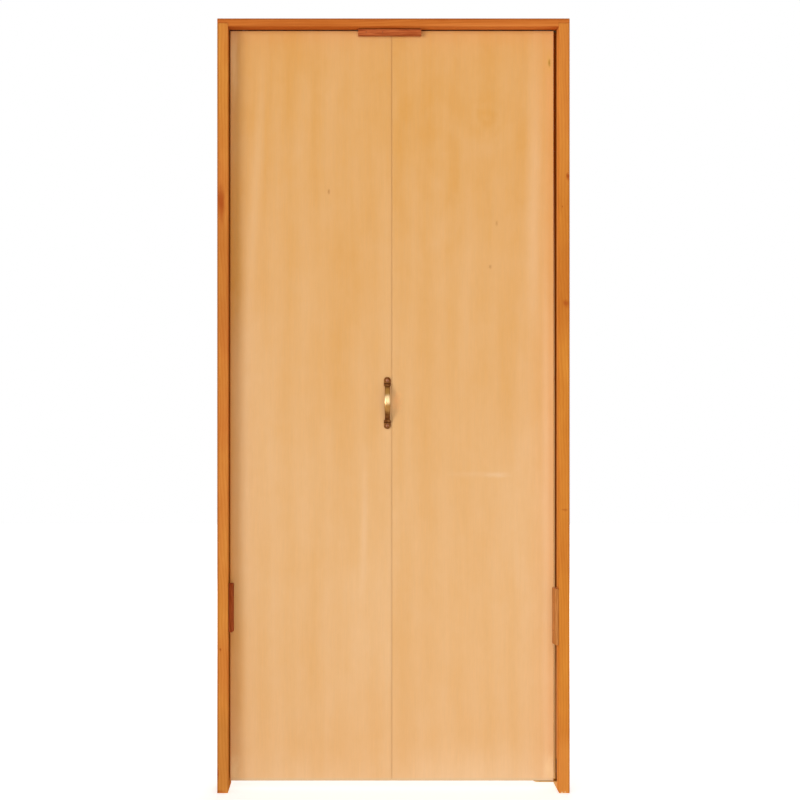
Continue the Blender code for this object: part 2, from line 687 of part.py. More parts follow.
def leaf_mesh(name, side):
    """A leaf with its rolled barrel along its whole length, before the knuckles are cut."""
    top = LEAF_THICKNESS - KNUCKLE_RADIUS
    meets = math.asin(top / KNUCKLE_RADIUS)
    barrel = arc((0, 0), KNUCKLE_RADIUS, -math.pi / 2, meets - 2 * math.pi, ROUND_STEPS)
    outline = barrel + [(LEAF_WIDTH, top), (LEAF_WIDTH, -KNUCKLE_RADIUS)]
    bore = arc((0, 0), HINGE_PIN_RADIUS + GAP, 0, 2 * math.pi, SMALL_STEPS)[:-1]
    mirrored = [[(side * x, y) for x, y in loop] for loop in (outline, bore)]
    return outline_mesh(name, mirrored, HINGE_LENGTH, FLAT_PLANE)


def build_hinge(name, height, axes, panels):
    """A surface hinge on the back faces. axes and panels are the pivot side's, then the lead's."""
    pitch = HINGE_LENGTH / KNUCKLES
    bottom = height - HINGE_LENGTH / 2
    face = FOLD_Y - KNUCKLE_RADIUS + LEAF_THICKNESS
    for side, first_slot, half, axis, panel in (
        (1, 1, "pivot", axes[0], panels[0]),
        (-1, 0, "lead", axes[1], panels[1]),
    ):
        leaf_name = f"{name}_{half}_leaf"
        mesh = leaf_mesh(leaf_name, side)
        leaf = add_piece(leaf_name, mesh, "antique_brass", axis, (SEAM_X, FOLD_Y, height))
        slot_low = bottom + first_slot * pitch - KNUCKLE_PLAY / 2
        reach = KNUCKLE_RADIUS + LEAF_PLAY
        corner = (SEAM_X - side * reach, FOLD_Y - reach, slot_low)
        opposite = (SEAM_X + side * reach, FOLD_Y + reach, slot_low + pitch + KNUCKLE_PLAY)
        slots = box_cutter(leaf_name + "_slots", corner, opposite)
        repeat = slots.modifiers.new("every second knuckle", "ARRAY")
        repeat.count = (KNUCKLES - first_slot + 1) // 2
        repeat.use_relative_offset = False
        repeat.use_constant_offset = True
        repeat.constant_offset_displace = (0, 0, 2 * pitch)
        combine(leaf, slots)
        through = (leaf, panel["back_skin"], panel["hinge_stile"])
        for end, offset in (("upper", HINGE_SCREW_SPACING / 2), ("lower", -HINGE_SCREW_SPACING / 2)):
            screw_name = f"{name}_{half}_screw_{end}"
            place = (SEAM_X + side * HINGE_SCREW_OFFSET, face, height + offset)
            flush_screw(screw_name, place, LOOKS_BACK, HINGE_SCREW_LENGTH, axis, through)
    top = HINGE_LENGTH / 2 + GAP
    pin = [
        (0, top + HINGE_HEAD_HEIGHT),
        (HINGE_HEAD_RADIUS, top + HINGE_HEAD_HEIGHT),
        (HINGE_HEAD_RADIUS, top),
        (HINGE_PIN_RADIUS, top),
        (HINGE_PIN_RADIUS, -HINGE_LENGTH / 2),
        (0, -HINGE_LENGTH / 2),
    ]
    place = (SEAM_X, FOLD_Y, height)
    turned(f"{name}_pin", pin, "antique_brass", axes[0], place, steps=SMALL_STEPS)


def bow_arc(half_chord, foot, crest):
    """An arc from one end of the bow over its crest to the other, as (along, out)."""
    rise = crest - foot
    radius = (half_chord**2 + rise**2) / (2 * rise)
    reach = math.asin(half_chord / radius)
    return arc((0, crest - radius), radius, math.pi / 2 + reach, math.pi / 2 - reach, 2 * ARC_STEPS)


def handle_side_view():
    """Two flat screw seats, a shoulder behind each, and the bow between them."""
    half, thick = HANDLE_LENGTH / 2, HANDLE_FOOT_THICKNESS
    rise = HANDLE_SHOULDER - thick
    shoulder = arc((HANDLE_SEAT_END - rise, thick), rise, math.pi / 2, 0, SMALL_STEPS // 2)
    outside = bow_arc(HANDLE_BOW_START, HANDLE_SHOULDER, HANDLE_PROJECTION)
    inside = bow_arc(HANDLE_BOW_HEEL, 0, HANDLE_PROJECTION - HANDLE_BOW_THICKNESS)[::-1]
    far_end = shoulder + [(half, thick), (half, 0)]
    near_end = [(-along, out) for along, out in far_end[::-1]]
    return near_end + outside + far_end + inside


def handle_front_view():
    """A round-ended foot at each end of the bow, which is widest in its middle."""
    foot, corner, end = HANDLE_FOOT_RADIUS, HANDLE_FOOT_CORNER, HANDLE_FOOT_END
    quarter = math.pi / 2
    top = arc((foot - corner, end + corner), corner, -quarter, 0, SMALL_STEPS // 2)
    top += arc((0, HANDLE_LENGTH / 2 - foot), foot, 0, math.pi, ROUND_STEPS)
    top += arc((corner - foot, end + corner), corner, math.pi, 3 * quarter, SMALL_STEPS // 2)
    left = []
    for i in range(2 * ARC_STEPS + 1):
        height = end * (1 - i / ARC_STEPS)
        share = math.cos(quarter * height / end) ** 2
        width = HANDLE_NECK_WIDTH + (HANDLE_BOW_WIDTH - HANDLE_NECK_WIDTH) * share
        left.append((-width / 2, height))
    upper_half = top + left
    return upper_half + [(-x, -z) for x, z in upper_half]


def build_handle(axis, panel):
    """The bow pull: its side view made wide, kept where its front view is."""
    x = SEAM_X - HANDLE_FROM_SEAM
    face = -HALF_THICKNESS - GAP
    place = (x, face, HANDLE_HEIGHT)
    width = 2 * (HANDLE_FOOT_RADIUS + OVERRUN)
    side_mesh = outline_mesh("handle", [handle_side_view()], width, SIDE_PLANE)
    handle = add_piece("handle", side_mesh, "antique_brass", axis, place)
    depth = 2 * (HANDLE_PROJECTION + OVERRUN)
    front_mesh = outline_mesh("handle_front", [handle_front_view()], depth, FRONT_PLANE)
    # The exact solver loses a screw seat here.
    combine(handle, add_cutter("handle_front", front_mesh, place), "INTERSECT", "MANIFOLD")
    head_radius, shank = HANDLE_HEAD_RADIUS, HANDLE_SCREW_RADIUS
    dome_radius = (head_radius**2 + HANDLE_HEAD_HEIGHT**2) / (2 * HANDLE_HEAD_HEIGHT)
    dome_start = math.asin(head_radius / dome_radius)
    base = HANDLE_FOOT_THICKNESS + GAP
    centre = (0, base + HANDLE_HEAD_HEIGHT - dome_radius)
    dome = arc(centre, dome_radius, math.pi / 2, math.pi / 2 - dome_start, SMALL_STEPS // 2)
    dome[0] = (0, base + HANDLE_HEAD_HEIGHT)
    screw_tip = base - HANDLE_SCREW_LENGTH
    screw = dome + [(shank, base), (shank, screw_tip + SCREW_POINT), (0, screw_tip)]
    hole = [
        (0, base + OVERRUN),
        (shank + GAP, base + OVERRUN),
        (shank + GAP, screw_tip + SCREW_POINT - GAP),
        (0, screw_tip - GAP),
    ]
    for end, offset in (("top", HANDLE_SCREW_SPACING / 2), ("bottom", -HANDLE_SCREW_SPACING / 2)):
        spot = (x, face, HANDLE_HEIGHT + offset)
        turned(f"handle_screw_{end}", screw, "antique_brass", axis, spot, LOOKS_FRONT, SMALL_STEPS)
        cutter = turned_cutter(f"handle_hole_{end}", hole, spot, LOOKS_FRONT, SMALL_STEPS)
        for piece in (handle, panel["front_skin"], panel["hinge_stile"]):
            combine(piece, cutter)


def build_blocks(frame, lead_axis):
    """Two wedge-shaped stops on the jambs, and the block that the lead panel carries across the seam."""
    root = -HALF_THICKNESS - STOP_PLAY
    for side, name, bottom, length, depth in (
        (-1, "left_stop_block", LEFT_STOP_BOTTOM, LEFT_STOP_LENGTH, LEFT_STOP_DEPTH),
        (1, "right_stop_block", RIGHT_STOP_BOTTOM, RIGHT_STOP_LENGTH, RIGHT_STOP_DEPTH),
    ):
        outline = [
            (side * (HALF_OPENING - GAP), root),
            (side * (HALF_OPENING - STOP_THICKNESS), root),
            (side * (HALF_OPENING - STOP_NOSE), root - depth),
            (side * (HALF_OPENING - GAP), root - depth),
        ]
        mesh = outline_mesh(name, [outline], length, FLAT_PLANE)
        place = (0, 0, bottom + length / 2)
        ease_edges(add_piece(name, mesh, "red_stained_block", frame, place), STOP_EDGE)
    middle = SEAM_X - TOP_BLOCK_OFFSET
    top = PANEL_TOP + TOP_BLOCK_RISE
    face = -HALF_THICKNESS - GAP
    corner = (middle - TOP_BLOCK_LENGTH / 2, face, top)
    opposite = (middle + TOP_BLOCK_LENGTH / 2, face - TOP_BLOCK_DEPTH, top - TOP_BLOCK_HEIGHT)
    board("top_block", corner, opposite, "red_stained_block", lead_axis, STOP_EDGE)


def main():
    start_scene()
    frame = axis_empty("frame_axis", (0, 0, 0))
    pivot = axis_empty("pivot_axis", (PIVOT_X, 0, 0), frame)
    fold = axis_empty("fold_axis", (SEAM_X, FOLD_Y, 0), pivot)
    top_pin = axis_empty("top_pivot_axis", (PIVOT_X, 0, PANEL_TOP), pivot)
    guide = axis_empty("guide_axis", (GUIDE_X, 0, PANEL_TOP), fold)
    wheel = axis_empty("wheel_axis", (GUIDE_X, 0, WHEEL_BOTTOM), guide)

    right_jamb, head = build_frame(frame)
    track = build_track(frame, head)
    build_socket(frame, head, track)
    build_bracket(frame, right_jamb)
    pivot_panel = build_panel("pivot", 1, pivot)
    lead_panel = build_panel("lead", -1, fold)
    build_top_pivot(pivot, top_pin, pivot_panel)
    build_bottom_pivot(pivot, pivot_panel)
    build_guide(fold, guide, wheel, lead_panel)
    hinge_heights = {
        "bottom_hinge": FLOOR_GAP + HINGE_FROM_BOTTOM,
        "middle_hinge": FLOOR_GAP + PANEL_HEIGHT / 2,
        "top_hinge": PANEL_TOP - HINGE_FROM_TOP,
    }
    for name, height in hinge_heights.items():
        build_hinge(name, height, (pivot, fold), (pivot_panel, lead_panel))
    build_handle(fold, lead_panel)
    build_blocks(frame, fold)


main()
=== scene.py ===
# Bifold closet door in its stained pine frame: the looks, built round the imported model.
# Metres. The room is at -Y, the floor at Z 0, and the seam near X 0.
import json
import math

import bmesh
import bpy
from mathutils import Matrix, Vector, noise


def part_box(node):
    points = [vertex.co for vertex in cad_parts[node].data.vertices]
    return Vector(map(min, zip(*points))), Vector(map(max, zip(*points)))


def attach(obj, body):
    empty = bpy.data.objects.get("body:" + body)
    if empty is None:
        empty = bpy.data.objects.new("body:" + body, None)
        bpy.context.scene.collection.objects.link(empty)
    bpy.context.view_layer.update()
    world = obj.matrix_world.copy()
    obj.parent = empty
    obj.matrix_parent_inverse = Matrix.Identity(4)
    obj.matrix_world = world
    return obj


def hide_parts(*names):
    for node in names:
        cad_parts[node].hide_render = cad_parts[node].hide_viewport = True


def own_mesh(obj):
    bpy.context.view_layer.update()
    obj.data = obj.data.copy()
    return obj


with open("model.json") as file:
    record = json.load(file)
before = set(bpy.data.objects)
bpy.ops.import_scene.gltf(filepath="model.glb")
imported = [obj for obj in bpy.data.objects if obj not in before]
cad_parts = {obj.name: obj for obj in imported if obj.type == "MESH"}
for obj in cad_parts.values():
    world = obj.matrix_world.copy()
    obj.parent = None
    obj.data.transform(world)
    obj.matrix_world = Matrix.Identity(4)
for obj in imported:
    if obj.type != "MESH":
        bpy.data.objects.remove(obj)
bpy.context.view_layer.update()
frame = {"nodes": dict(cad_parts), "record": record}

print("frame loaded:", len(frame["nodes"]), "nodes")
mm = 0.001
nodes = frame["nodes"]
allAround = 2 * math.pi
endless = 40  # metres: a stain zone that runs the whole length of a board
waveStep = 0.314  # the wave texture has a ring or a band each 0.314 units
smooth = {"interpolation_type": "SMOOTHSTEP"}
rgba = {"data_type": "RGBA"}


def linear(hexColour):  # "#rrggbb" as painted, to the linear colour that Blender mixes
    channels = [int(hexColour[i:i + 2], 16) / 255 for i in (1, 3, 5)]
    return (*(c / 12.92 if c <= 0.04045 else ((c + 0.055) / 1.055) ** 2.4 for c in channels), 1)


def feed(tree, node, inputs):  # links a socket to the output or outputs given for it, or else sets its value
    for key, value in inputs.items():
        outputs = value if isinstance(value, list) else [value]
        if isinstance(outputs[0], bpy.types.NodeSocket):
            for output in outputs:
                tree.links.new(output, node.inputs[key])
        else:
            node.inputs[key].default_value = value


def addNode(tree, kind, inputs=None, out=0, **settings):  # makes a node, sets and links it, gives one output
    made = tree.nodes.new(kind)
    for name, value in settings.items():
        setattr(made, name, value)
    feed(tree, made, inputs or {})
    return made.outputs[out]


def newFinish(name, values):  # gives the material, its nodes, its shader, and where each point lies
    finish = bpy.data.materials.new(name)
    finish.use_nodes = True
    tree = finish.node_tree
    shader = tree.nodes["Principled BSDF"]
    feed(tree, shader, values)
    return finish, tree, shader, addNode(tree, "ShaderNodeTexCoord", out="Object")


def grainNoise(tree, space, cell, detail, out="Fac", **place):  # noise in cells of so many mm in x, y and z
    perMetre = [1 / (side * mm) for side in cell]
    space = addNode(tree, "ShaderNodeMapping", {"Vector": space, "Scale": perMetre, **place})
    return addNode(tree, "ShaderNodeTexNoise", {"Vector": space, "Scale": 1, "Detail": detail}, out)


def wanderingGrain(tree, space, look, **place):  # bends straight grain by slow noise
    shift = grainNoise(tree, space, look["wanderCell"], 2, "Color", **place)
    bend = {0: shift, 1: [look["wander"]] * 3, 2: space}
    return addNode(tree, "ShaderNodeVectorMath", bend, operation="MULTIPLY_ADD")


def weighTone(tree, tone, parts, **settings):  # each part moves the tone, either way from its own middle
    for part, middle, weight in parts:
        shift = addNode(tree, "ShaderNodeMath", {0: part, 1: middle}, operation="SUBTRACT")
        tone = addNode(tree, "ShaderNodeMath", {0: shift, 1: weight, 2: tone}, operation="MULTIPLY_ADD", **settings)
    return tone


def reachFrom(tree, space, centre, size, slant=0.0, ragged=None):
    # how many times its size a point lies from a centre; a ragged outline has a rate and a depth
    place = {"Vector": space, "Location": centre, "Rotation": (0, slant, 0), "Scale": size}
    inside = addNode(tree, "ShaderNodeMapping", place, vector_type="TEXTURE")
    reach = addNode(tree, "ShaderNodeVectorMath", {0: inside}, "Value", operation="LENGTH")
    if ragged:
        rate, depth = ragged
        wobble = addNode(tree, "ShaderNodeTexNoise", {"Vector": inside, "Scale": rate, "Detail": 3}, "Fac")
        reach = addNode(tree, "ShaderNodeMath", {0: wobble, 1: depth, 2: reach}, operation="MULTIPLY_ADD")
    return reach


def rubIn(tree, colour, hexColour, reach, fade, strength, **settings):
    # lays one colour over another: full at the first value of the fade, gone at the second
    limits = {"Value": reach, "From Min": fade[0], "From Max": fade[1], "To Min": strength, "To Max": 0}
    share = addNode(tree, "ShaderNodeMapRange", limits, **settings)
    return addNode(tree, "ShaderNodeMix", {0: share, 6: colour, 7: linear(hexColour)}, 2, **rgba), share


def coat(tree, shader, look, colour, roughBy, height):  # colour, roughness that follows the grain, fine relief
    low, high = look["roughness"]
    rough = addNode(tree, "ShaderNodeMapRange", {"Value": roughBy, "To Min": low, "To Max": high})
    relief = {"Height": height, "Strength": look["bump"], "Distance": look["relief"]}
    bump = addNode(tree, "ShaderNodeBump", relief)
    feed(tree, shader, {"Base Color": colour, "Roughness": rough, "Normal": bump})


def stainedPine(name, look, knots):
    # Plain-sawn pine, wiped with an orange stain: growth rings as long flames, darker late wood and
    # red-brown knots. The coat is dull, as a shine would grey the narrow gaps.
    finish, tree, shader, spot = newFinish(name, {"Specular IOR Level": look["gloss"]})
    grain = addNode(tree, "ShaderNodeMapping", {"Vector": spot, "Rotation": look["turn"]})
    bent = wanderingGrain(tree, grain, look)
    heart = {"Vector": bent, "Location": look["pith"], "Rotation": look["tilt"]}
    fromPith = addNode(tree, "ShaderNodeMapping", heart)
    rings = {"Vector": fromPith, "Scale": waveStep / look["ringSpacing"], **look["ringWave"]}
    kind = {"wave_type": "RINGS", "rings_direction": "Z", "wave_profile": "SAW"}
    rings = addNode(tree, "ShaderNodeTexWave", rings, "Fac", **kind)
    late = {"Value": rings, "From Min": look["lateWoodFrom"], "From Max": 1}
    lateWood = addNode(tree, "ShaderNodeMapRange", late, **smooth)
    parts = [(lateWood, look["lateWoodFrom"], look["rings"])]
    parts += [(grainNoise(tree, bent, cell, detail), 0.5, weight) for cell, detail, weight in look["layers"]]
    fibres = parts[-1][0]
    tone = weighTone(tree, 0.5, parts, use_clamp=True)
    stains = {0: tone, 6: linear(look["light"]), 7: linear(look["dark"])}
    colour = addNode(tree, "ShaderNodeMix", stains, 2, **rgba)
    patches = grainNoise(tree, grain, look["patchCell"], 1)
    colour, share = rubIn(tree, colour, look["red"], patches, look["redFade"], look["redness"])
    for centre, size, strength, hexColour in look["zones"]:
        reach = reachFrom(tree, spot, centre, size)
        colour, share = rubIn(tree, colour, hexColour, reach, look["zoneFade"], strength)
    for x, y, z, wide, deep, tall, depth in knots:
        reach = reachFrom(tree, spot, (x, y, z), (wide * mm, deep * mm, tall * mm), ragged=look["knotEdge"])
        colour, share = rubIn(tree, colour, look["knot"], reach, look["knotFade"], depth, **smooth)
    height = addNode(tree, "ShaderNodeMath", {0: lateWood, 1: fibres}, operation="ADD")
    coat(tree, shader, look, colour, fibres, height)
    return finish


def peeledBirch(name, look, patches, contours, marks):
    # Rotary-peeled birch face veneer under an aged clear varnish: broad soft flames that run up the panel, amber and
    # pale clouds, hair-fine fibres, a few pin knots and scuffs. Some pale and amber patches and marks by the jambs,
    # along the bottom and beside the pull are painted light and shade.
    finish, tree, shader, spot = newFinish(name, {"Specular IOR Level": look["gloss"]})
    bent = wanderingGrain(tree, spot, look, Location=look["seedPlace"])
    flames = {"Vector": bent, "Scale": waveStep / look["flameSpacing"], **look["flameWave"]}
    kind = {"wave_type": "BANDS", "bands_direction": "X", "wave_profile": "SIN"}
    flames = addNode(tree, "ShaderNodeTexWave", flames, "Fac", **kind)
    parts = [(flames, 0.5, look["flames"])]
    for cell, detail, weight in look["layers"]:
        parts.append((grainNoise(tree, bent, cell, detail, Location=look["seedPlace"]), 0.5, weight))
    fibres = parts[-1][0]
    # the tone falls with height, paler low down: in part painted light from the floor
    above = addNode(tree, "ShaderNodeSeparateXYZ", {"Vector": spot}, "Z")
    tone = addNode(tree, "ShaderNodeMapRange", {"Value": above, **look["fall"]}, **smooth)
    tone = weighTone(tree, tone, parts)
    for x, z, halfWidth, halfHeight, slant, amber in patches:
        reach = reachFrom(tree, bent, (x, 0, z), (halfWidth, look["through"], halfHeight), slant)
        limits = {"Value": reach, "From Max": look["patchEnd"], "To Min": amber, "To Max": 0}
        share = addNode(tree, "ShaderNodeMapRange", limits, **smooth)
        tone = addNode(tree, "ShaderNodeMath", {0: tone, 1: share}, operation="ADD")
    for x, z, halfWidth, halfHeight, slant, lines, strength in contours:  # where the knife left a growth ring
        size = (halfWidth, look["through"], halfHeight)
        reach = reachFrom(tree, bent, (x, 0, z), size, slant, look["contourEdge"])
        phase = addNode(tree, "ShaderNodeMath", {0: reach, 1: lines * allAround}, operation="MULTIPLY")
        ripple = addNode(tree, "ShaderNodeMath", {0: phase}, operation="SINE")
        near, far = look["contourFade"]
        limits = {"Value": reach, "From Min": near, "From Max": far, "To Min": strength, "To Max": 0}
        share = addNode(tree, "ShaderNodeMapRange", limits, **smooth)
        tone = addNode(tree, "ShaderNodeMath", {0: ripple, 1: share, 2: tone}, operation="MULTIPLY_ADD")
    varnish = {0: tone, 6: linear(look["pale"]), 7: linear(look["amber"])}
    colour = addNode(tree, "ShaderNodeMix", varnish, 2, clamp_factor=False, **rgba)
    darkest, lightest = look["shade"]
    dim, bright = look["fibreRange"]
    shade = {"Value": fibres, "From Min": dim, "From Max": bright, "To Min": darkest, "To Max": lightest}
    shade = addNode(tree, "ShaderNodeMapRange", shade)
    colour = addNode(tree, "ShaderNodeVectorMath", {0: colour, 1: shade}, operation="MULTIPLY")
    flecks = grainNoise(tree, bent, look["fleckCell"], 1)
    colour, share = rubIn(tree, colour, look["fleck"], flecks, look["fleckFade"], look["flecks"])
    for x, z, wide, tall, slant, strength, hexColour in marks:
        size = (wide * mm, look["markDepth"], tall * mm)
        reach = reachFrom(tree, spot, (x, look["front"], z), size, slant, look["markEdge"])
        colour, share = rubIn(tree, colour, hexColour, reach, look["markFade"], strength, **smooth)
    # greyer along the lower edge
    colour, share = rubIn(tree, colour, look["lowEdgeGrey"], above, look["lowEdgeGreyFade"], look["lowEdgeGreyShare"])
    coat(tree, shader, look, colour, fibres, fibres)
    return finish


def sawnWood(name, look):
    # Planed solid wood seen on edge: straight fibres, little figure, a dry thin finish.
    finish, tree, shader, spot = newFinish(name, {
        "Roughness": look["roughness"], "Specular IOR Level": look["gloss"], "Specular Tint": linear(look["light"]),
    })
    streaks, fibres = [grainNoise(tree, spot, cell, detail) for cell, detail in look["layers"]]
    tone = addNode(tree, "ShaderNodeMath", {0: streaks, 1: fibres}, operation="MULTIPLY")
    contrast = {"Value": tone, "From Min": look["low"], "From Max": look["high"]}
    share = addNode(tree, "ShaderNodeMapRange", contrast, **smooth)
    colour = {0: share, 6: linear(look["dark"]), 7: linear(look["light"])}
    colour = addNode(tree, "ShaderNodeMix", colour, 2, **rgba)
    bump = addNode(tree, "ShaderNodeBump", {"Height": fibres, "Strength": look["bump"], "Distance": look["relief"]})
    feed(tree, shader, {"Base Color": colour, "Normal": bump})
    return finish


def brass(name, look, wearAndShine=()):
    # Cast brass, darkened to an antique brown and rubbed bright again where fingers reach; on the pull these rubbed
    # zones lie where its reflections and highlight fall, and are painted reflection and a painted highlight.
    finish, tree, shader, spot = newFinish(name, {"Metallic": 1, "Specular Tint": linear(look["rim"])})
    cloud = {"Vector": spot, "Scale": 1 / look["cloud"], "Detail": 4}
    cloud = addNode(tree, "ShaderNodeTexNoise", cloud, "Fac")
    thin, thick = look["cloudRange"]
    least, most = look["patinaShares"]
    shade = {"Value": cloud, "From Min": thin, "From Max": thick, "To Min": least, "To Max": most}
    shade = addNode(tree, "ShaderNodeMapRange", shade)
    colour = {0: shade, 6: linear(look["bright"]), 7: linear(look["patina"])}
    colour = addNode(tree, "ShaderNodeMix", colour, 2, **rgba)
    for place, size, strength, hexColour in wearAndShine:  # worn or tarnished zones, one over the other; on the pull they are painted reflection and a painted highlight
        reach = reachFrom(tree, spot, place, size)
        reach = addNode(tree, "ShaderNodeMath", {0: cloud, 1: look["wearAndShineEdge"], 2: reach}, operation="MULTIPLY_ADD")
        colour, share = rubIn(tree, colour, hexColour, reach, look["wearAndShineFade"], strength, **smooth)
        shade = addNode(tree, "ShaderNodeMath", {0: shade, 1: share}, operation="SUBTRACT", use_clamp=True)
    pits = addNode(tree, "ShaderNodeTexNoise", {"Vector": spot, "Scale": 1 / look["pit"], "Detail": 2}, "Fac")
    coat(tree, shader, look, colour, shade, pits)
    return finish


def plainMetal(name, look):
    # Sheet steel under bright zinc, or extruded aluminium: an even sheen, with cloudy or drawn-out grain.
    finish, tree, shader, spot = newFinish(name, {"Metallic": 1, "Specular Tint": linear(look["rim"])})
    grain = grainNoise(tree, spot, look["cell"], 3)
    colour = {0: grain, 6: linear(look["dark"]), 7: linear(look["light"])}
    colour = addNode(tree, "ShaderNodeMix", colour, 2, **rgba)
    coat(tree, shader, {"bump": 0.2, "relief": 0.05 * mm, **look}, colour, grain, grain)
    return finish


def mouldedNylon(name, look):
    # Moulded natural nylon: milky, waxy, with a faint satin texture from the tool.
    finish, tree, shader, spot = newFinish(name, {
        "IOR": look["ior"], "Roughness": look["roughness"],
        "Subsurface Weight": look["milkiness"], "Subsurface Radius": look["lightReach"],
    })
    cloud = addNode(tree, "ShaderNodeTexNoise", {"Vector": spot, "Scale": 1 / look["cloud"], "Detail": 2}, "Fac")
    colour = {0: cloud, 6: linear(look["dark"]), 7: linear(look["light"])}
    colour = addNode(tree, "ShaderNodeMix", colour, 2, **rgba)
    texture = addNode(tree, "ShaderNodeTexNoise", {"Vector": spot, "Scale": 1 / look["texture"], "Detail": 1}, "Fac")
    bump = addNode(tree, "ShaderNodeBump", {"Height": texture, "Strength": look["bump"], "Distance": look["relief"]})
    feed(tree, shader, {"Base Color": colour, "Normal": bump})
    return finish


# Frame: where its faces lie, for stains and knots that have a place of their own.
jambInner, jambMiddle, jambOuter = 0.438, 0.452, 0.4665
frameFront, openingTop, frameTop = -58 * mm, 2.03, 2.051
# the first colour is painted shade for the gap behind the closed door; the second is the darker colour along the
# outer corners
gapShade, outerCornerDark = "#86390a", "#8c4416"
pineLook = {
    "light": "#e8a04c", "dark": "#c47228", "red": "#c1592b", "knot": "#a03c14",
    "roughness": (0.54, 0.7), "gloss": 0.0, "bump": 0.35, "relief": 0.12 * mm,
    "ringSpacing": 8 * mm, "ringWave": {"Distortion": 1.5, "Detail": 2, "Detail Scale": 0.6},
    "rings": 0.22, "lateWoodFrom": 0.3, "pith": (0.055, 0.12, 0), "tilt": (0.05, 0.03, 0), "turn": (0, 0, 0),
    "wander": 34 * mm, "wanderCell": (111.11, 111.11, 384.6),
    "redness": 0.55, "redFade": (0.72, 0.5), "patchCell": (250, 250, 333.3),
    # cell in mm, detail and how strongly it shows: clouds, mottling, streaks, and fibres drawn
    # 2 mm wide, which is coarser than they are, so that they show
    "layers": [
        ((71.43, 71.43, 200), 2, 0.55), ((16.667, 16.667, 45.45), 2, 0.3),
        ((9.091, 9.091, 312.5), 3, 0.35), ((2.2222, 2.2222, 55.56), 2, 0.16),
    ],
    # a fade goes from full to gone, counted in sizes; an edge has a rate and a depth
    "zoneFade": (0.6, 1.05), "knotEdge": (0.9, 1.6), "knotFade": (0.9, 2.1),
    # where, how far in x, y and z, how strong, and what colour
    "zones": [
        # behind the closed door: painted shade, dark brown on the jambs' inner faces in the gap; paler lower down
        # and towards the closet, painted light where light from the floor reaches in
        ((jambInner, 42 * mm, 1.0), (1 * mm, 42 * mm, endless), 0.88, gapShade),
        ((-jambInner, 34 * mm, 1.0), (1 * mm, 42 * mm, endless), 0.88, gapShade),
        ((-jambInner, 34 * mm, 0.5), (1.5 * mm, 42 * mm, 1.3), 0.85, "#e08a3c"),
        ((jambInner, 45 * mm, 0.35), (1.5 * mm, 24 * mm, 1.3), 0.95, "#ffd9a0"),
        ((jambInner, 5 * mm, 0.0), (1.5 * mm, 30 * mm, 0.5), 0.85, "#ffc880"),
        # darker along the outer corners
        ((-jambOuter, frameFront, 1.0), (5 * mm, 5 * mm, endless), 0.4, outerCornerDark),
        ((jambOuter, frameFront, 1.0), (4 * mm, 4 * mm, endless), 0.35, outerCornerDark),
        # broad redder and paler lengths of the front edges, and a paler inner face before the door, which is painted
        # light lifting the shade in the reveal
        ((-jambMiddle, frameFront, 1.36), (40 * mm, 30 * mm, 0.2), 0.22, "#a85c26"),
        ((-jambMiddle, frameFront, 0.1), (40 * mm, 30 * mm, 0.13), 0.25, "#a05a2a"),
        ((jambMiddle, frameFront, 1.34), (40 * mm, 30 * mm, 0.16), 0.28, "#ac4e18"),
        ((jambMiddle, frameFront, 1.85), (40 * mm, 30 * mm, 0.3), 0.12, "#f0a058"),
        ((jambMiddle, frameFront, 0.05), (40 * mm, 30 * mm, 0.11), 0.25, "#f0a452"),
        # painted light: the right jamb's inner face in front of the door is made paler
        ((jambInner, -26 * mm, 1.0), (1 * mm, 22 * mm, endless), 0.5, "#f2a254"),
        # chips at the right foot
        ((0.446, frameFront, 1 * mm), (3.5 * mm, 5 * mm, 4 * mm), 0.75, "#f0d6a6"),
        ((0.4545, frameFront, 2 * mm), (2.5 * mm, 5 * mm, 5 * mm), 0.6, "#eccb92"),
    ],
}
# x, y and z, how far it reaches along them in mm, and how dark it is
jambKnots = [
    (0.4615, frameFront, 1.632, 5, 12, 12, 0.8), (0.447, frameFront, 1.553, 1.6, 4, 3, 0.8),
    (0.457, frameFront, 1.296, 9, 16, 12, 0.55), (0.4535, frameFront, 0.75, 9, 14, 4, 0.5),
    (-0.4565, frameFront, 1.56, 12, 22, 58, 0.7), (-0.458, frameFront, 0.38, 3, 6, 5, 0.75),
    (-jambOuter, frameFront, 0.052, 5, 9, 16, 0.9), (-0.46, frameFront, 0.004, 16, 20, 6, 0.45),
    (jambOuter, -0.02, 0.93, 8, 8, 13, 0.9), (-jambOuter, 0.01, 1.42, 9, 9, 15, 0.9),
    (jambInner, 0.03, 1.1, 7, 7, 11, 0.9), (-jambInner, 0.02, 1.75, 7, 7, 12, 0.9),
    (-jambOuter, 0.03, 0.35, 7, 7, 12, 0.9), (jambOuter, 0.03, 1.7, 7, 7, 12, 0.9),
]
headKnots = [
    (0.13, -0.01, frameTop, 14, 9, 9, 0.9), (-0.3, 0.02, frameTop, 13, 8, 8, 0.9),
    (-0.05, frameFront, 2.044, 60, 9, 2, 0.35), (-0.28, frameFront, 2.036, 90, 9, 2, 0.3),
]
warmLook = {**pineLook, "light": "#e2953c", "dark": "#bf6b24", "pith": (-0.09, 0.1, 0.4), "redness": 0.3}
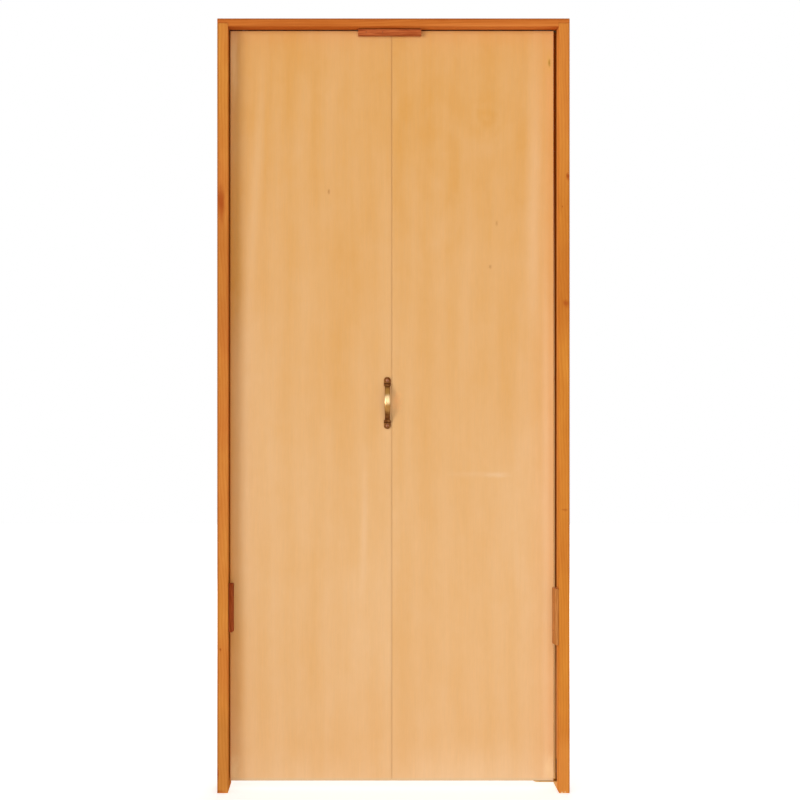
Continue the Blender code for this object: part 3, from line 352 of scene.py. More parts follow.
headLook = {
    **pineLook, "turn": (0, -math.pi / 2, 0), "light": "#d98038", "dark": "#b05219", "red": "#b94f21",
    "pith": (0.03, 0.1, 0.2), "redness": 0.75, "zones": [
        # painted shade: dark brown on the underside behind the closed door, in the gap over it
        ((0, 24 * mm, openingTop), (endless, 42 * mm, 1 * mm), 0.88, gapShade),
        ((0, frameFront, frameTop), (endless, 4 * mm, 5 * mm), 0.45, "#8a4228"),
        ((0.26, frameFront, 2.0345), (0.25, 4 * mm, 5 * mm), 0.3, "#ee9448"),
        # painted light: a paler strip on the underside in front of the door lifts its shade
        ((0.26, -44 * mm, 2.0305), (0.25, 30 * mm, 2 * mm), 0.4, "#f09c50"),
    ],
}
pineUpright = stainedPine("stainedPineUpright", pineLook, jambKnots)
pineWarm = stainedPine("stainedPineWarm", warmLook, jambKnots)
pineAcross = stainedPine("stainedPineAcross", headLook, headKnots)

birchLook = {
    "pale": "#e9bb87", "amber": "#dea35b", "fleck": "#c89656", "lowEdgeGrey": "#d9bd96",
    "roughness": (0.47, 0.6), "gloss": 0.12, "bump": 0.2, "relief": 0.05 * mm, "seedPlace": (3.1, 7.7, 1.9),
    "wander": 30 * mm, "wanderCell": (250, 250, 1111.1), "flames": 0.12, "flameSpacing": 75 * mm,
    "flameWave": {"Distortion": 3.0, "Detail": 2, "Detail Scale": 0.5},
    # cell in mm, detail and how strongly it shows: clouds, mottling, curl, broad bands, streaks, and
    # fibres drawn 2 mm wide, so that they show
    "layers": [
        ((200, 200, 454.5), 2, 0.45), ((55.56, 55.56, 111.11), 3, 0.35), ((18.182, 18.182, 27.78), 2, 0.18),
        ((41.67, 41.67, 1000), 2, 0.35), ((9.091, 9.091, 250), 3, 0.14), ((2.3256, 2.3256, 55.56), 2, 0.1),
    ],
    "flecks": 0.04, "fleckCell": (2.381, 2.381, 16.667), "fleckFade": (0.74, 0.66),
    "fibreRange": (0.25, 0.75), "shade": (0.975, 1.025),
    # the paleness low down is in part painted light from the floor
    "fall": {"From Min": 0.5, "From Max": 2, "To Min": 0.28, "To Max": 0.88},  # paler low down, amber at the top
    # "through" is in metres: patches and contours run right through the panel
    "through": 100, "patchEnd": 1.3, "contourEdge": (1.3, 1.1), "contourFade": (0.9, 1.9),
    "front": -17.5 * mm, "markDepth": 20 * mm, "markEdge": (2.5, 1.0), "markFade": (0.5, 1.7),
    "lowEdgeGreyShare": 0.8, "lowEdgeGreyFade": (24 * mm, 34 * mm),
}
# x, z, half width, half height, slant, how amber (minus is paler)
leadPatches = [
    (-0.405, 1.43, 0.025, 0.3, 0.0, 0.4), (-0.345, 1.7, 0.02, 0.42, 0.06, -0.35),
    (-0.355, 0.98, 0.04, 0.55, 0.0, -0.25), (-0.14, 1.25, 0.03, 0.45, 0.0, 0.32),
    (-0.175, 1.7, 0.03, 0.2, -0.05, 0.12), (-0.067, 0.7, 0.013, 0.2, 0.0, -0.32),
    # the paler band along the bottom is painted light from the floor
    (-0.2, 0.35, 0.05, 0.3, 0.02, 0.14), (-0.22, 0.02, 0.3, 0.1, 0.0, -0.35),
    # amber along the left edge: partly the veneer's own streak, partly painted shade that warms the jamb's shadow
    (-0.425, 0.8, 0.018, 0.9, 0.0, 0.75), (-0.4, 0.4, 0.022, 0.4, 0.0, 0.35),
    (-0.18, 1.3, 0.06, 0.4, 0.0, -0.12), (-0.08, 1.35, 0.03, 0.3, 0.0, 0.15),
]
pivotPatches = [
    (0.07, 1.83, 0.1, 0.14, 0.0, 0.12), (0.24, 1.82, 0.1, 0.1, 0.15, 0.1), (0.26, 1.74, 0.035, 0.045, 0.3, -0.2),
    # the paler strip along the right edge is painted light, reflected from the right jamb
    (0.09, 0.9, 0.03, 0.6, 0.0, 0.12), (0.36, 0.75, 0.05, 0.4, 0.0, -0.22), (0.424, 0.9, 0.012, 1.2, 0.0, -0.35),
    # the paler band along the bottom is painted light from the floor
    (0.04, 0.4, 0.06, 0.25, 0.0, 0.14), (0.2, 1.2, 0.025, 0.3, 0.03, -0.14), (0.24, 0.02, 0.3, 0.12, 0.0, -0.65),
    (0.2, 1.05, 0.24, 0.5, 0.0, 0.14), (0.395, 1.6, 0.025, 0.45, 0.0, -0.55),
]
# x, z, half width, half height, slant, lines, strength
leadContours = [(-0.2, 2.3, 0.11, 0.6, 0.0, 2.6, 0.035)]
pivotContours = [(0.13, 1.66, 0.13, 0.3, 0.06, 2.4, 0.055), (0.265, 1.81, 0.06, 0.07, 0.2, 1.6, 0.06)]
# x, z, half width and half height in mm, slant, strength and colour: pin knots, a darker edge along the seam, amber
# lengths by the jambs (the left one partly painted shade that warms the jamb's shadow), a dull scuff, pale ends by
# the jambs that are painted light lifting their shadow, and an orange patch beside the pull that is painted shade
# warming its shadow
leadMarks = [
    (-0.1716, 1.5975, 4, 9, 0.0, 0.6, "#b06f36"), (-0.001, 2.0, 6, 500, 0.0, 0.5, "#c4843c"),
    # the amber length by the left jamb is partly painted shade, warming the jamb's shadow
    (-0.005, 1.1, 5, 4000, 0.0, 0.25, "#d39a62"), (-0.42, 0.86, 26, 450, 0.0, 0.27, "#dca052"),
    # painted light: pale ends at the foot and the head of the left edge lift the jamb's shadow
    (-0.427, 0.05, 22, 55, 0.0, 0.5, "#f6d69e"), (-0.427, 1.95, 16, 120, 0.0, 0.4, "#ffd8a0"),
]
pivotMarks = [
    (0.4165, 1.945, 9, 45, 0.0, 0.4, "#d9a850"), (0.4176, 1.9415, 4, 13, 0.0, 0.85, "#a47c26"),
    (0.2595, 1.397, 5, 7, 0.0, 0.5, "#b4753c"), (0.277, 1.513, 4, 9, 0.0, 0.45, "#b4753c"),
    (0.2775, 0.8405, 38, 9, 0.02, 0.2, "#f6dcb8"), (0.235, 0.8425, 100, 10, 0.01, 0.09, "#f6dcb8"),
    # painted shade: the orange patch beside the pull warms the pull's shadow
    (0.01, 1.036, 15, 34, 0.0, 0.7, "#ffbb78"), (0.357, 0.73, 34, 220, 0.0, 0.22, "#dca052"),
    # painted light: a pale end at the foot of the right edge lifts the jamb's shadow
    (0.42, 0.05, 22, 55, 0.0, 0.5, "#f8daa6"),
]
pivotLook = {**birchLook, "seedPlace": (9.4, 2.2, 5.5)}
birchLead = peeledBirch("peeledBirchLead", birchLook, leadPatches, leadContours, leadMarks)
birchPivot = peeledBirch("peeledBirchPivot", pivotLook, pivotPatches, pivotContours, pivotMarks)

# cell in mm and detail: streaks, then fibres drawn coarse enough to show
edgeLook = {
    "light": "#e6b87f", "dark": "#d29d5f", "low": 0.1, "high": 0.46, "roughness": 0.55, "gloss": 0.05,
    "bump": 0.3, "relief": 0.08 * mm, "layers": [((11.111, 11.111, 200), 3), ((2.5, 2.5, 62.5), 2)],
}
railLook = {**edgeLook, "layers": [((200, 11.111, 11.111), 3), ((62.5, 2.5, 2.5), 2)]}
coreLook = {
    "light": "#e6c795", "dark": "#c99f63", "low": 0.15, "high": 0.4, "roughness": 0.75, "gloss": 0.05,
    "bump": 0.3, "relief": 0.15 * mm, "layers": [((11.111, 11.111, 125), 2), ((2.5, 2.5, 41.67), 2)],
}
blockLook = {
    "light": "#bf6232", "dark": "#8c3a17", "low": 0.12, "high": 0.42, "roughness": 0.5, "gloss": 0.05,
    "bump": 0.3, "relief": 0.12 * mm, "layers": [((6.25, 6.25, 125), 2), ((1.6667, 1.6667, 41.667), 2)],
}
acrossLook = {
    **blockLook, "light": "#d07641", "dark": "#9a4720",
    "layers": [((125, 6.25, 6.25), 2), ((41.667, 1.6667, 1.6667), 2)],
}
edgeWood = sawnWood("planedPoplarEdge", edgeLook)
edgeAcross = sawnWood("planedPoplarRail", railLook)
coreWood = sawnWood("sawnSpruceCore", coreLook)
blockRed = sawnWood("redStainedBlock", blockLook)
blockTan = sawnWood("tanStainedBlock", {**blockLook, "light": "#d48f52", "dark": "#ad6a30"})
blockAcross = sawnWood("redStainedBlockAcross", acrossLook)

low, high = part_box("handle")
handleMiddle = Vector(((low.x + high.x) / 2, high.y, (low.z + high.z) / 2))  # where its seat meets the door
brassLook = {
    "bright": "#d8aa66", "patina": "#5a2606", "rim": "#5e3410", "roughness": (0.36, 0.58),
    "patinaShares": (0.78, 1.0), "cloud": 6.25 * mm, "cloudRange": (0.3, 0.7),
    # the casting's pits are finer than this, and drawn so wide that they show
    "pit": 0.7143 * mm, "bump": 0.25, "relief": 0.04 * mm, "wearAndShineEdge": 0.5, "wearAndShineFade": (0.6, 1.35),
}
hingeLook = {
    **brassLook, "bright": "#d6b27c", "patina": "#6b4420", "roughness": (0.32, 0.54), "patinaShares": (0.1, 0.55),
    "cloud": 16.667 * mm,
}
# from the middle of the pull's seat, how far it reaches, how strong, and what colour: rubbed brass laid as painted
# reflection, olive above and tan below, and as a painted highlight a little above the middle
bowWearAndShine = [
    (handleMiddle + Vector((0, -22 * mm, 31 * mm)), (30 * mm, 30 * mm, 15 * mm), 0.78, "#ab7f3e"),
    (handleMiddle + Vector((0, -28 * mm, -5 * mm)), (30 * mm, 30 * mm, 31 * mm), 0.72, "#a97c42"),
    (handleMiddle + Vector((0, -28 * mm, 10 * mm)), (30 * mm, 30 * mm, 16.5 * mm), 0.75, "#e1c08f"),
]
handleBrass = brass("antiqueBrassPull", brassLook, bowWearAndShine)
hingeBrass = brass("antiqueBrassHinge", hingeLook)
screwBrass = brass("antiqueBrassScrew", {**brassLook, "bright": "#c98f6c", "patinaShares": (0.3, 0.8)})

# cell in mm: the real grain is too fine to show, so it is drawn in cells of a few millimetres
metalLooks = {
    "zincPlatedSteel": {
        "light": "#c6c8ca", "dark": "#9da0a3", "rim": "#b4b6b8", "roughness": (0.26, 0.48), "cell": (5.5556,) * 3,
    },
    "stainedNailSteel": {
        "light": "#a8663f", "dark": "#74402a", "rim": "#7a4628", "roughness": (0.4, 0.62), "cell": (3.3333,) * 3,
    },
    "yellowZincSteel": {
        "light": "#d9ae66", "dark": "#b98a45", "rim": "#9c6a34", "roughness": (0.35, 0.57), "cell": (6.25,) * 3,
    },
    "extrudedAluminium": {
        "light": "#c9b79c", "dark": "#a39076", "rim": "#a88f6e", "roughness": (0.26, 0.48),
        "cell": (333.3, 1.1111, 1.1111),
    },
}
zinc, wornSteel, yellowZinc, aluminium = [plainMetal(name, look) for name, look in metalLooks.items()]
nylonLook = {
    "light": "#f3f0e8", "dark": "#e6e2d6", "ior": 1.53, "roughness": 0.42, "cloud": 4.5455 * mm,
    # the tool's texture is finer than this, and drawn wide enough to show
    "texture": 0.4 * mm, "bump": 0.15, "relief": 0.03 * mm,
    "milkiness": 0.15, "lightReach": (0.8 * mm, 0.7 * mm, 0.6 * mm),
}
nylon = mouldedNylon("mouldedNylon", nylonLook)

slotFinish = {
    "frame_wood": pineUpright, "door_veneer": edgeWood, "core_wood": coreWood, "block_wood": blockRed,
    "antique_brass": hingeBrass, "zinc_steel": zinc, "track_aluminium": aluminium, "wheel_nylon": nylon,
}
nodeFinish = {"head": pineAcross, "right_jamb": pineWarm, "floor_bracket": yellowZinc}
for part in frame["record"]["subparts"]:
    nodeName = part["node"]
    finish = nodeFinish.get(nodeName, slotFinish[part["material_slot"]])
    if nodeName.endswith("_rail"):
        finish = edgeAcross
    nodes[nodeName].data.materials.clear()
    nodes[nodeName].data.materials.append(finish)
print("materials made:", len(bpy.data.materials))


def finishPiece(name, mesh, finish, body, replaced):
    piece = bpy.data.objects.new(name, mesh)
    bpy.context.scene.collection.objects.link(piece)
    mesh.materials.clear()
    mesh.materials.append(finish)
    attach(piece, body)
    if replaced:
        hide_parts(*replaced)
    return piece


def meshFrom(name, shape, smoothAngle=None):
    bmesh.ops.remove_doubles(shape, verts=shape.verts, dist=0.001 * mm)
    bmesh.ops.recalc_face_normals(shape, faces=shape.faces)
    mesh = bpy.data.meshes.new(name)
    shape.to_mesh(mesh)
    shape.free()
    if smoothAngle:
        mesh.shade_smooth()
        mesh.set_sharp_from_angle(angle=smoothAngle)
    return mesh


def boardBetween(low, high):
    board = bmesh.new()
    place = Matrix.Translation((low + high) / 2) @ Matrix.Diagonal((*(high - low), 1))
    bmesh.ops.create_cube(board, size=1, matrix=place)
    return board


def easeEdges(shape, edges, width, segments):
    bmesh.ops.bevel(shape, geom=edges, offset=width, segments=segments, profile=0.5, affect="EDGES")


# Door skins: each face sheet again, with its outer arrises eased by sandpaper.
skinShape = {"arris": 0.4 * mm, "segments": 2, "sameFace": 0.01 * mm}
for panel, body, veneer in (("pivot", "pivot_panel", birchPivot), ("lead", "lead_panel", birchLead)):
    for faceName, outward in (("front", -1), ("back", 1)):
        node = f"{panel}_{faceName}_skin"
        low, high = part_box(node)
        shape = boardBetween(low, high)
        outerY = high.y if outward > 0 else low.y
        rim = [e for e in shape.edges if all(abs(v.co.y - outerY) < skinShape["sameFace"] for v in e.verts)]
        easeEdges(shape, rim, skinShape["arris"], skinShape["segments"])
        finishPiece(f"{panel}_{faceName}_face", meshFrom(node, shape), veneer, body, [node])
print("door faces made")


# Blocks: offcuts with hand-eased, slightly worn edges. The two stops thin towards the room, to a
# nose of a given share of their thickness, from a back that lies flat on the jamb.
blockShape = {
    "edge": 1.1 * mm, "segments": 3, "cell": 7 * mm, "smooth": math.radians(35), "nose": 0.659,
    "wearAndShine": 0.35 * mm, "wearRate": 90, "wornEdges": 1.5,
}
for node, body, finish, backX in (
    ("top_block", "lead_panel", blockAcross, None), ("left_stop_block", "frame", blockRed, -1),
    ("right_stop_block", "frame", blockTan, 1),
):
    low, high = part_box(node)
    size, middle = high - low, (low + high) / 2
    shape = boardBetween(low, high)
    easeEdges(shape, shape.edges[:], blockShape["edge"], blockShape["segments"])
    for axis in range(3):
        steps = int(size[axis] / blockShape["cell"])
        for i in range(1, steps):
            spot = middle.copy()
            spot[axis] = low[axis] + size[axis] * i / steps
            across = Vector([1.0 if a == axis else 0.0 for a in range(3)])
            everything = shape.verts[:] + shape.edges[:] + shape.faces[:]
            bmesh.ops.bisect_plane(shape, geom=everything, plane_co=spot, plane_no=across)
    for v in shape.verts:  # worn inwards only, most along the edges
        inside = [min(v.co[a] - low[a], high[a] - v.co[a]) for a in range(3)]
        if sorted(inside)[1] < blockShape["wornEdges"] * blockShape["edge"]:
            worn = blockShape["wearAndShine"] * (0.5 + 0.5 * noise.noise(v.co * blockShape["wearRate"]))
            v.co -= (v.co - middle).normalized() * max(0, worn)
        if backX:
            flatX = high.x if backX > 0 else low.x
            towardsRoom = (high.y - v.co.y) / size.y
            v.co.x = flatX + (v.co.x - flatX) * (1 - (1 - blockShape["nose"]) * towardsRoom)
    worn = meshFrom(node, shape, blockShape["smooth"])
    finishPiece(node + "_worn", worn, finish, body, [node])
print("blocks made")


# Bow pull: flat sections stacked up the handle. u runs up from its middle, v out from the door.
pull = {
    "half": 69.5 * mm, "seat": 3.2 * mm, "footRadius": 9.2 * mm, "footEnd": 44.5 * mm, "corner": 3 * mm,
    "seatStart": 49.6 * mm, "seatEnd": 53.2 * mm, "shoulder": 8.0 * mm, "bowStart": 46 * mm, "heel": 44 * mm,
    "bead": 0.5 * mm, "beadPlace": 49 * mm, "beadWidth": 1.9 * mm, "crest": 28 * mm, "thickness": 5 * mm,
    "neck": 13 * mm, "bowWidth": 16.5 * mm, "rim": 1.1 * mm, "sunk": 0.3 * mm, "around": 40,
    "boxyFrom": 30 * mm, "boxyTo": 50 * mm, "smooth": math.radians(50),
    # power of the section's round at mid-bow, and how much less it is where the section is boxy
    "sidePower": (0.85, 0.5), "outerPower": (0.95, 0.62), "innerPower": (0.55, 0.3),
    # distance between sections: at the ends, round the shoulders, and along the bow
    "endGap": 0.03 * mm, "nearEnd": 0.12 * mm, "lastGap": 0.1 * mm, "endZone": 2 * mm,
    "shoulderZone": (43.5 * mm, 54 * mm), "endStep": 0.25 * mm, "shoulderStep": 0.45 * mm, "bowStep": 1.4 * mm,
}


def easedStep(value, start, end):
    t = min(1, max(0, (value - start) / (end - start)))
    return t * t * (3 - 2 * t)


def bowHeight(u, reach, foot, crest):
    if abs(u) >= reach:
        return foot
    rise = crest - foot
    radius = (reach**2 + rise**2) / (2 * rise)
    return crest - radius + math.sqrt(radius**2 - u**2)


def pullSection(u):  # half width, inner height, outer height, and how boxy the section is
    a = abs(u)
    bowShare = math.cos(math.pi / 2 * min(1, a / pull["footEnd"])) ** 2
    halfWidth = (pull["neck"] + (pull["bowWidth"] - pull["neck"]) * bowShare) / 2
    foot = pull["footRadius"]
    capStart = pull["half"] - foot
    if a > capStart:
        footWidth = math.sqrt(max(0, foot**2 - (a - capStart) ** 2))
    else:
        into = min(1, max(0, (a - pull["footEnd"]) / pull["corner"]))
        footWidth = halfWidth + (foot - halfWidth) * math.sqrt(1 - (1 - into) ** 2)
    if a >= pull["footEnd"]:
        halfWidth = footWidth
    outer = bowHeight(u, pull["bowStart"], pull["shoulder"], pull["crest"])
    outer += pull["bead"] * math.exp(-((a - pull["beadPlace"]) / pull["beadWidth"]) ** 2)
    outer += (pull["seat"] - outer) * easedStep(a, pull["seatStart"], pull["seatEnd"])
    fromEnd = pull["half"] - a
    if fromEnd < pull["rim"]:
        outer -= pull["rim"] - math.sqrt(max(0, pull["rim"] ** 2 - (pull["rim"] - fromEnd) ** 2))
    inner = bowHeight(u, pull["heel"], -pull["sunk"], pull["crest"] - pull["thickness"])
    return halfWidth, inner, outer, easedStep(a, pull["boxyFrom"], pull["boxyTo"])


def sectionPlaces(half):
    places = [-half + pull["endGap"], half - pull["endGap"]]
    u = -half + pull["nearEnd"]
    while u < half - pull["lastGap"]:
        places.append(u)
        if half - abs(u) < pull["endZone"]:
            u += pull["endStep"]
        elif pull["shoulderZone"][0] < abs(u) < pull["shoulderZone"][1]:
            u += pull["shoulderStep"]
        else:
            u += pull["bowStep"]
    return sorted(places)


shape = bmesh.new()
previous = None
for u in sectionPlaces(pull["half"]):
    halfWidth, inner, outer, boxy = pullSection(u)
    middle, halfDepth = (inner + outer) / 2, (outer - inner) / 2
    ring = []
    for k in range(pull["around"]):
        angle = allAround * k / pull["around"]
        c, s = math.cos(angle), math.sin(angle)
        sideRound, sideLess = pull["sidePower"]
        depthRound, depthLess = pull["outerPower"] if s > 0 else pull["innerPower"]
        x = halfWidth * math.copysign(abs(c) ** (sideRound - sideLess * boxy), c)
        v = middle + halfDepth * math.copysign(abs(s) ** (depthRound - depthLess * boxy), s)
        ring.append(shape.verts.new(handleMiddle + Vector((x, -v, u))))
    if previous:
        for k in range(pull["around"]):
            n = (k + 1) % pull["around"]
            shape.faces.new((previous[k], previous[n], ring[n], ring[k]))
    else:
        shape.faces.new(ring)
    previous = ring
shape.faces.new(previous)
bow = meshFrom("bow_pull", shape, pull["smooth"])
finishPiece("bow_pull", bow, handleBrass, "lead_panel", ["handle"])
print("bow pull made")


def newTree(name, sizes):  # a geometry tree with a named input for each size, and what is given to them
    tree = bpy.data.node_groups.new(name, "GeometryNodeTree")
    tree.interface.new_socket("Geometry", in_out="INPUT", socket_type="NodeSocketGeometry")
    for label in sizes:
        tree.interface.new_socket(label, in_out="INPUT", socket_type="NodeSocketFloat")
    tree.interface.new_socket("Finish", in_out="INPUT", socket_type="NodeSocketMaterial")
    tree.interface.new_socket("Geometry", in_out="OUTPUT", socket_type="NodeSocketGeometry")
    return tree, tree.nodes.new("NodeGroupInput").outputs


def endTree(tree, given, shape):  # a copy on each point, turned to its facing, made real and given its finish
    facing = addNode(tree, "GeometryNodeInputNamedAttribute", {"Name": "facing"}, data_type="FLOAT_VECTOR")
    turn = addNode(tree, "FunctionNodeAlignRotationToVector", {"Vector": facing}, axis="Z")
    copies = {"Points": given["Geometry"], "Instance": shape, "Rotation": turn}
    copies = addNode(tree, "GeometryNodeInstanceOnPoints", copies)
    real = addNode(tree, "GeometryNodeRealizeInstances", {"Geometry": copies})
    painted = addNode(tree, "GeometryNodeSetMaterial", {"Geometry": real, "Material": given["Finish"]})
    tree.links.new(painted, tree.nodes.new("NodeGroupOutput").inputs[0])
    return tree


def runTree(name, tree, values, points, facings, smoothAngle):  # one point for each copy
    base = bpy.data.meshes.new(name + "_points")
    base.from_pydata([tuple(p) for p in points], [], [])
    facing = base.attributes.new("facing", "FLOAT_VECTOR", "POINT")
    for i, direction in enumerate(facings):
        facing.data[i].vector = direction
    carrier = bpy.data.objects.new(name + "_points", base)
    bpy.context.scene.collection.objects.link(carrier)
    modifier = carrier.modifiers.new("repeat", "NODES")
    modifier.node_group = tree
    for item in tree.interface.items_tree:
        if item.in_out == "INPUT" and item.name in values:
            modifier[item.identifier] = values[item.name]
    carrier.update_tag()
    graph = bpy.context.evaluated_depsgraph_get()
    mesh = bpy.data.meshes.new_from_object(carrier.evaluated_get(graph))
    mesh.name = name
    carrier.modifiers.clear()
    bpy.data.objects.remove(carrier)
    mesh.shade_smooth()
    mesh.set_sharp_from_angle(angle=smoothAngle)
    return mesh


# Screws: a countersunk or round head with a crossed slot, on a plain shank.
woodScrew = {
    "Head Radius": 3.2 * mm, "Head Depth": 1.5 * mm, "Dome": 0.12 * mm, "Shank Radius": 1.6 * mm, "Length": 7 * mm,
    "Slot Width": 0.9 * mm, "Slot Length": 3.6 * mm, "Cross Length": 3.6 * mm, "Slot Depth": 1.3 * mm,
}
pullScrew = {
    "Head Radius": 4.4 * mm, "Head Depth": 0.6 * mm, "Dome": 2.2 * mm, "Shank Radius": 2 * mm, "Length": 20 * mm,
    "Slot Width": 1.1 * mm, "Slot Length": 4.2 * mm, "Cross Length": 4.2 * mm, "Slot Depth": 1.5 * mm,
}
screwSmooth = math.radians(30)


def screwTree():
    tree, given = newTree("screws", woodScrew)
    headDown = addNode(tree, "ShaderNodeMath", {0: given["Head Depth"], 1: -1.0}, operation="MULTIPLY")
    headPlace = addNode(tree, "ShaderNodeCombineXYZ", {"Z": headDown})
    cone = addNode(tree, "GeometryNodeMeshCone", {
        "Vertices": 32, "Radius Top": given["Head Radius"], "Radius Bottom": given["Shank Radius"],
        "Depth": given["Head Depth"],
    })
    head = addNode(tree, "GeometryNodeTransform", {"Geometry": cone, "Translation": headPlace})
    ball = addNode(tree, "GeometryNodeMeshUVSphere", {"Segments": 32, "Rings": 16, "Radius": 1.0})
    ballSize = {"X": given["Head Radius"], "Y": given["Head Radius"], "Z": given["Dome"]}
    ballSize = addNode(tree, "ShaderNodeCombineXYZ", ballSize)
    dome = addNode(tree, "GeometryNodeTransform", {"Geometry": ball, "Scale": ballSize})
    rod = {"Vertices": 24, "Radius": given["Shank Radius"], "Depth": given["Length"]}
    rod = addNode(tree, "GeometryNodeMeshCylinder", rod)
    halfDown = addNode(tree, "ShaderNodeMath", {0: given["Length"], 1: -0.5}, operation="MULTIPLY")
    shankPlace = addNode(tree, "ShaderNodeCombineXYZ", {"Z": halfDown})
    shank = addNode(tree, "GeometryNodeTransform", {"Geometry": rod, "Translation": shankPlace})
    joined = addNode(tree, "GeometryNodeMeshBoolean", {"Mesh 2": [head, dome, shank]}, operation="UNION")
    doubleDepth = addNode(tree, "ShaderNodeMath", {0: given["Slot Depth"], 1: 2.0}, operation="MULTIPLY")
    top = addNode(tree, "ShaderNodeCombineXYZ", {"Z": given["Dome"]})
    bars = []
    for x, y in (("Slot Length", "Slot Width"), ("Slot Width", "Cross Length")):
        size = addNode(tree, "ShaderNodeCombineXYZ", {"X": given[x], "Y": given[y], "Z": doubleDepth})
        bar = addNode(tree, "GeometryNodeMeshCube", {"Size": size})
        bars.append(addNode(tree, "GeometryNodeTransform", {"Geometry": bar, "Translation": top}))
    cut = {"Mesh 1": joined, "Mesh 2": bars}
    return endTree(tree, given, addNode(tree, "GeometryNodeMeshBoolean", cut, operation="DIFFERENCE"))


def screwSpot(node, facing, sunk):  # the middle of a CAD screw's head, less what the new head stands out
    low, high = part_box(node)
    spot = (low + high) / 2
    for axis in range(3):
        if facing[axis] > 0:
            spot[axis] = high[axis]
        if facing[axis] < 0:
            spot[axis] = low[axis]
    return spot - Vector(facing) * sunk


screws = screwTree()
hingeNames = ("bottom_hinge", "middle_hinge", "top_hinge")
down, toBack, toLeft, toRoom = (0, 0, -1), (0, 1, 0), (-1, 0, 0), (0, -1, 0)
frameSpots = {
    "track_screw_left": down, "track_screw_right": down, "socket_screw": down,
    "bracket_screw_lower": toLeft, "bracket_screw_upper": toLeft,
}
pullSpots = {"handle_screw_top": toRoom, "handle_screw_bottom": toRoom}
screwSets = [("frame_screws", "frame", zinc, "zinc_steel", woodScrew, 0, frameSpots)]
for half in ("pivot", "lead"):
    spots = {f"{hinge}_{half}_screw_{end}": toBack for hinge in hingeNames for end in ("lower", "upper")}
    screwSets.append((f"{half}_hinge_screws", f"{half}_panel", zinc, "zinc_steel", woodScrew, 0, spots))
screwSets.append(
    ("pull_screws", "lead_panel", screwBrass, "antique_brass", pullScrew, pullScrew["Dome"], pullSpots)
)
for name, body, finish, slot, sizes, sunk, spots in screwSets:
    points = [screwSpot(node, facing, sunk) for node, facing in spots.items()]
    mesh = runTree(name, screws, {**sizes, "Finish": finish}, points, spots.values(), screwSmooth)
    finishPiece(name, mesh, finish, body, list(spots))
print("screws made")


# Nails that hold the blocks: small flat heads, a little proud of the wood and stained over with it.
nailHead = {"Head Radius": 1.7 * mm, "Head Height": 0.8 * mm, "Crown": 0.25 * mm, "Taper": 0.86}
nailPlace = {"sunk": 0.35 * mm, "fromEnd": 0.25, "topBlock": (-72 * mm, -28 * mm), "smooth": math.radians(35)}


def nailTree():
    tree, given = newTree("nails", nailHead)
    under = addNode(tree, "ShaderNodeMath", {0: given["Head Radius"], 1: given["Taper"]}, operation="MULTIPLY")
    disc = {"Radius Top": under, "Radius Bottom": given["Head Radius"], "Depth": given["Head Height"]}
    head = addNode(tree, "GeometryNodeMeshCone", {"Vertices": 24, **disc})
    ball = addNode(tree, "GeometryNodeMeshUVSphere", {"Segments": 24, "Rings": 12, "Radius": 1.0})
    crownSize = addNode(tree, "ShaderNodeCombineXYZ", {"X": under, "Y": under, "Z": given["Crown"]})
    top = addNode(tree, "ShaderNodeCombineXYZ", {"Z": given["Head Height"]})
    crown = {"Geometry": ball, "Scale": crownSize, "Translation": top}
    crown = addNode(tree, "GeometryNodeTransform", crown)
    joined = addNode(tree, "GeometryNodeMeshBoolean", {"Mesh 2": [head, crown]}, operation="UNION")
    return endTree(tree, given, joined)


nails = nailTree()
stopNails, topNails = [], []
for node, side in (("left_stop_block", 1), ("right_stop_block", -1)):  # through each slanted face into the jamb
    low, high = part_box(node)
    slope = (high.x - low.x) * (1 - blockShape["nose"]) / (high.y - low.y)
    facing = Vector((side, -slope, 0)).normalized()
    bare = high.x if side > 0 else low.x
    halfway = side * (high.x - low.x) * (1 - blockShape["nose"]) / 2
    for share in (nailPlace["fromEnd"], 1 - nailPlace["fromEnd"]):
        place = Vector((bare - halfway, (low.y + high.y) / 2, low.z + (high.z - low.z) * share))
        stopNails.append((place, facing))
low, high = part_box("top_block")
for x in nailPlace["topBlock"]:
    topNails.append((Vector((x, low.y, (low.z + high.z) / 2)), Vector(toRoom)))
for name, body, spots in (("frame_nails", "frame", stopNails), ("top_block_nails", "lead_panel", topNails)):
    points = [place - facing * nailPlace["sunk"] for place, facing in spots]
    facings = [tuple(facing) for place, facing in spots]
    mesh = runTree(name, nails, {**nailHead, "Finish": wornSteel}, points, facings, nailPlace["smooth"])
    finishPiece(name, mesh, wornSteel, body, [])
print("nails made")


# Springs: the same coils again, on pieces of their own.
springs = {
    "top_pivot_spring": ("pivot_panel", "top_pivot_slide"), "guide_spring": ("lead_panel", "guide_slide"),
}
for node, (body, joint) in springs.items():
    low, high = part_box(node)
    piece = finishPiece(node + "_coil", nodes[node].data.copy(), zinc, body, [node])
    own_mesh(piece)
print("springs made")


# Studio: a pale floor that turns white away from the door, and white all round. What lights the
# door is dimmer than what the camera, glossy and glass rays see.
stage = {
    "floorHalf": 9, "floorColour": "#e9e8e4", "floorRoughness": 0.9, "floorGlow": 0.62, "farGlow": 1.0,
    "whiterFrom": 0.7, "whiteAt": 2.4, "floorBounce": 0.24,
    # the world's light from in front and from behind, and the slants to Y between which it changes
    "ambient": 0.4, "behind": 0.08, "dimsFrom": -0.5, "dimsTo": 0.3,
}


def seenDirectly(tree):  # 1 for the rays that see plain white
    path = addNode(tree, "ShaderNodeLightPath").node.outputs
    rays = {0: path["Is Camera Ray"], 1: path["Is Glossy Ray"]}
    direct = addNode(tree, "ShaderNodeMath", rays, operation="MAXIMUM")
    return addNode(tree, "ShaderNodeMath", {0: direct, 1: path["Is Transmission Ray"]}, operation="MAXIMUM")


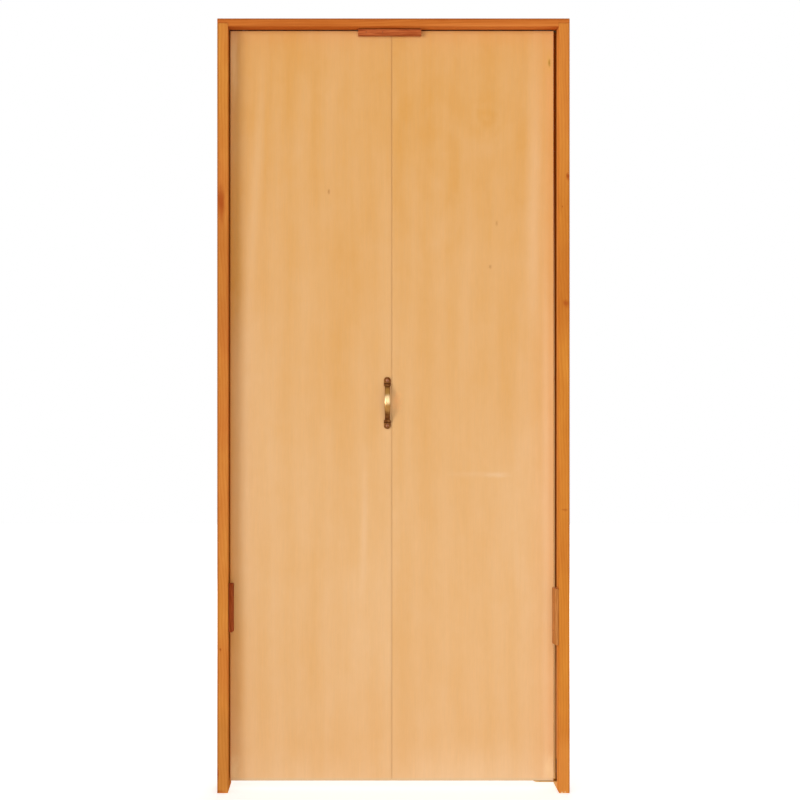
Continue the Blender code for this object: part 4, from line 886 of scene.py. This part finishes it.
floorShape = bmesh.new()
bmesh.ops.create_grid(floorShape, x_segments=1, y_segments=1, size=stage["floorHalf"])
floor = bpy.data.objects.new("studio_floor", meshFrom("studio_floor", floorShape))
bpy.context.scene.collection.objects.link(floor)
floorPaint = {"Base Color": linear(stage["floorColour"]), "Roughness": stage["floorRoughness"]}
floorFinish, tree, shader, spot = newFinish("paleFloor", floorPaint)
away = addNode(tree, "ShaderNodeVectorMath", {0: spot}, "Value", operation="LENGTH")
whiter = {
    "Value": away, "From Min": stage["whiterFrom"], "From Max": stage["whiteAt"],
    "To Min": stage["floorGlow"], "To Max": stage["farGlow"],
}
whiter = addNode(tree, "ShaderNodeMapRange", whiter, **smooth)
glow = {"Value": seenDirectly(tree), "To Min": stage["floorBounce"], "To Max": whiter}
glow = addNode(tree, "ShaderNodeMapRange", glow)
light = addNode(tree, "ShaderNodeEmission", {"Color": (1, 1, 1, 1), "Strength": glow})
both = addNode(tree, "ShaderNodeAddShader", {0: shader.outputs[0], 1: light})
tree.links.new(both, tree.nodes["Material Output"].inputs["Surface"])
floor.data.materials.append(floorFinish)

world = bpy.data.worlds.new("studio")
bpy.context.scene.world = world
world.use_nodes = True
tree = world.node_tree
towards = addNode(tree, "ShaderNodeTexCoord", out="Generated")
depthwise = addNode(tree, "ShaderNodeSeparateXYZ", {"Vector": towards}, "Y")
ambient = {
    "Value": depthwise, "From Min": stage["dimsFrom"], "From Max": stage["dimsTo"],
    "To Min": stage["ambient"], "To Max": stage["behind"],
}
ambient = addNode(tree, "ShaderNodeMapRange", ambient, **smooth)
strength = addNode(tree, "ShaderNodeMapRange", {"Value": seenDirectly(tree), "To Min": ambient, "To Max": 1.0})
feed(tree, tree.nodes["Background"], {"Color": (1, 1, 1, 1), "Strength": strength})


def addLamp(name, kind, place, target, energy, shines=True, **settings):
    lamp = bpy.data.lights.new(name, kind)
    lamp.energy = energy
    for setting, value in settings.items():
        setattr(lamp, setting, value)
    lampObject = bpy.data.objects.new(name, lamp)
    lampObject.location = place
    lampObject.rotation_euler = (Vector(target) - Vector(place)).to_track_quat("-Z", "Y").to_euler()
    lampObject.visible_glossy = shines
    bpy.context.scene.collection.objects.link(lampObject)


middle = (0, 0, 1.0)
frontPanel = {"shape": "RECTANGLE", "size": 3.6, "size_y": 2.4}
lowPanel = {"shape": "RECTANGLE", "size": 1.6, "size_y": 0.3}
rearPanel = {"shape": "RECTANGLE", "size": 3.0, "size_y": 2.4}
addLamp("far_window", "SUN", (-4.0, -4.4, 1.3), middle, 1.45, angle=math.radians(28))
addLamp("front_softbox", "AREA", (0.3, -4.6, 2.2), middle, 48, **frontPanel)
addLamp("low_softbox", "AREA", (0.25, -1.25, 0.06), (0.05, 0, 0.25), 2.6, shines=False, **lowPanel)
addLamp("rear_softbox", "AREA", (0.5, 4.4, 2.6), middle, 130, shines=False, **rearPanel)

# the eye stands a little left of the seam, and the shift keeps the door in the middle of the picture
view = {"place": (-0.115, -4.258, 1.041), "sensor": 36, "lens": 71.42, "shift": 0.0625}
camera = bpy.data.objects.new("camera", bpy.data.cameras.new("camera"))
camera.location = view["place"]
camera.rotation_euler = (math.pi / 2, 0, 0)
camera.data.sensor_width = view["sensor"]
camera.data.lens = view["lens"]
camera.data.shift_x = view["shift"]
bpy.context.scene.collection.objects.link(camera)
bpy.context.scene.camera = camera
bpy.context.scene.view_settings.view_transform = "Standard"
print("stage set")
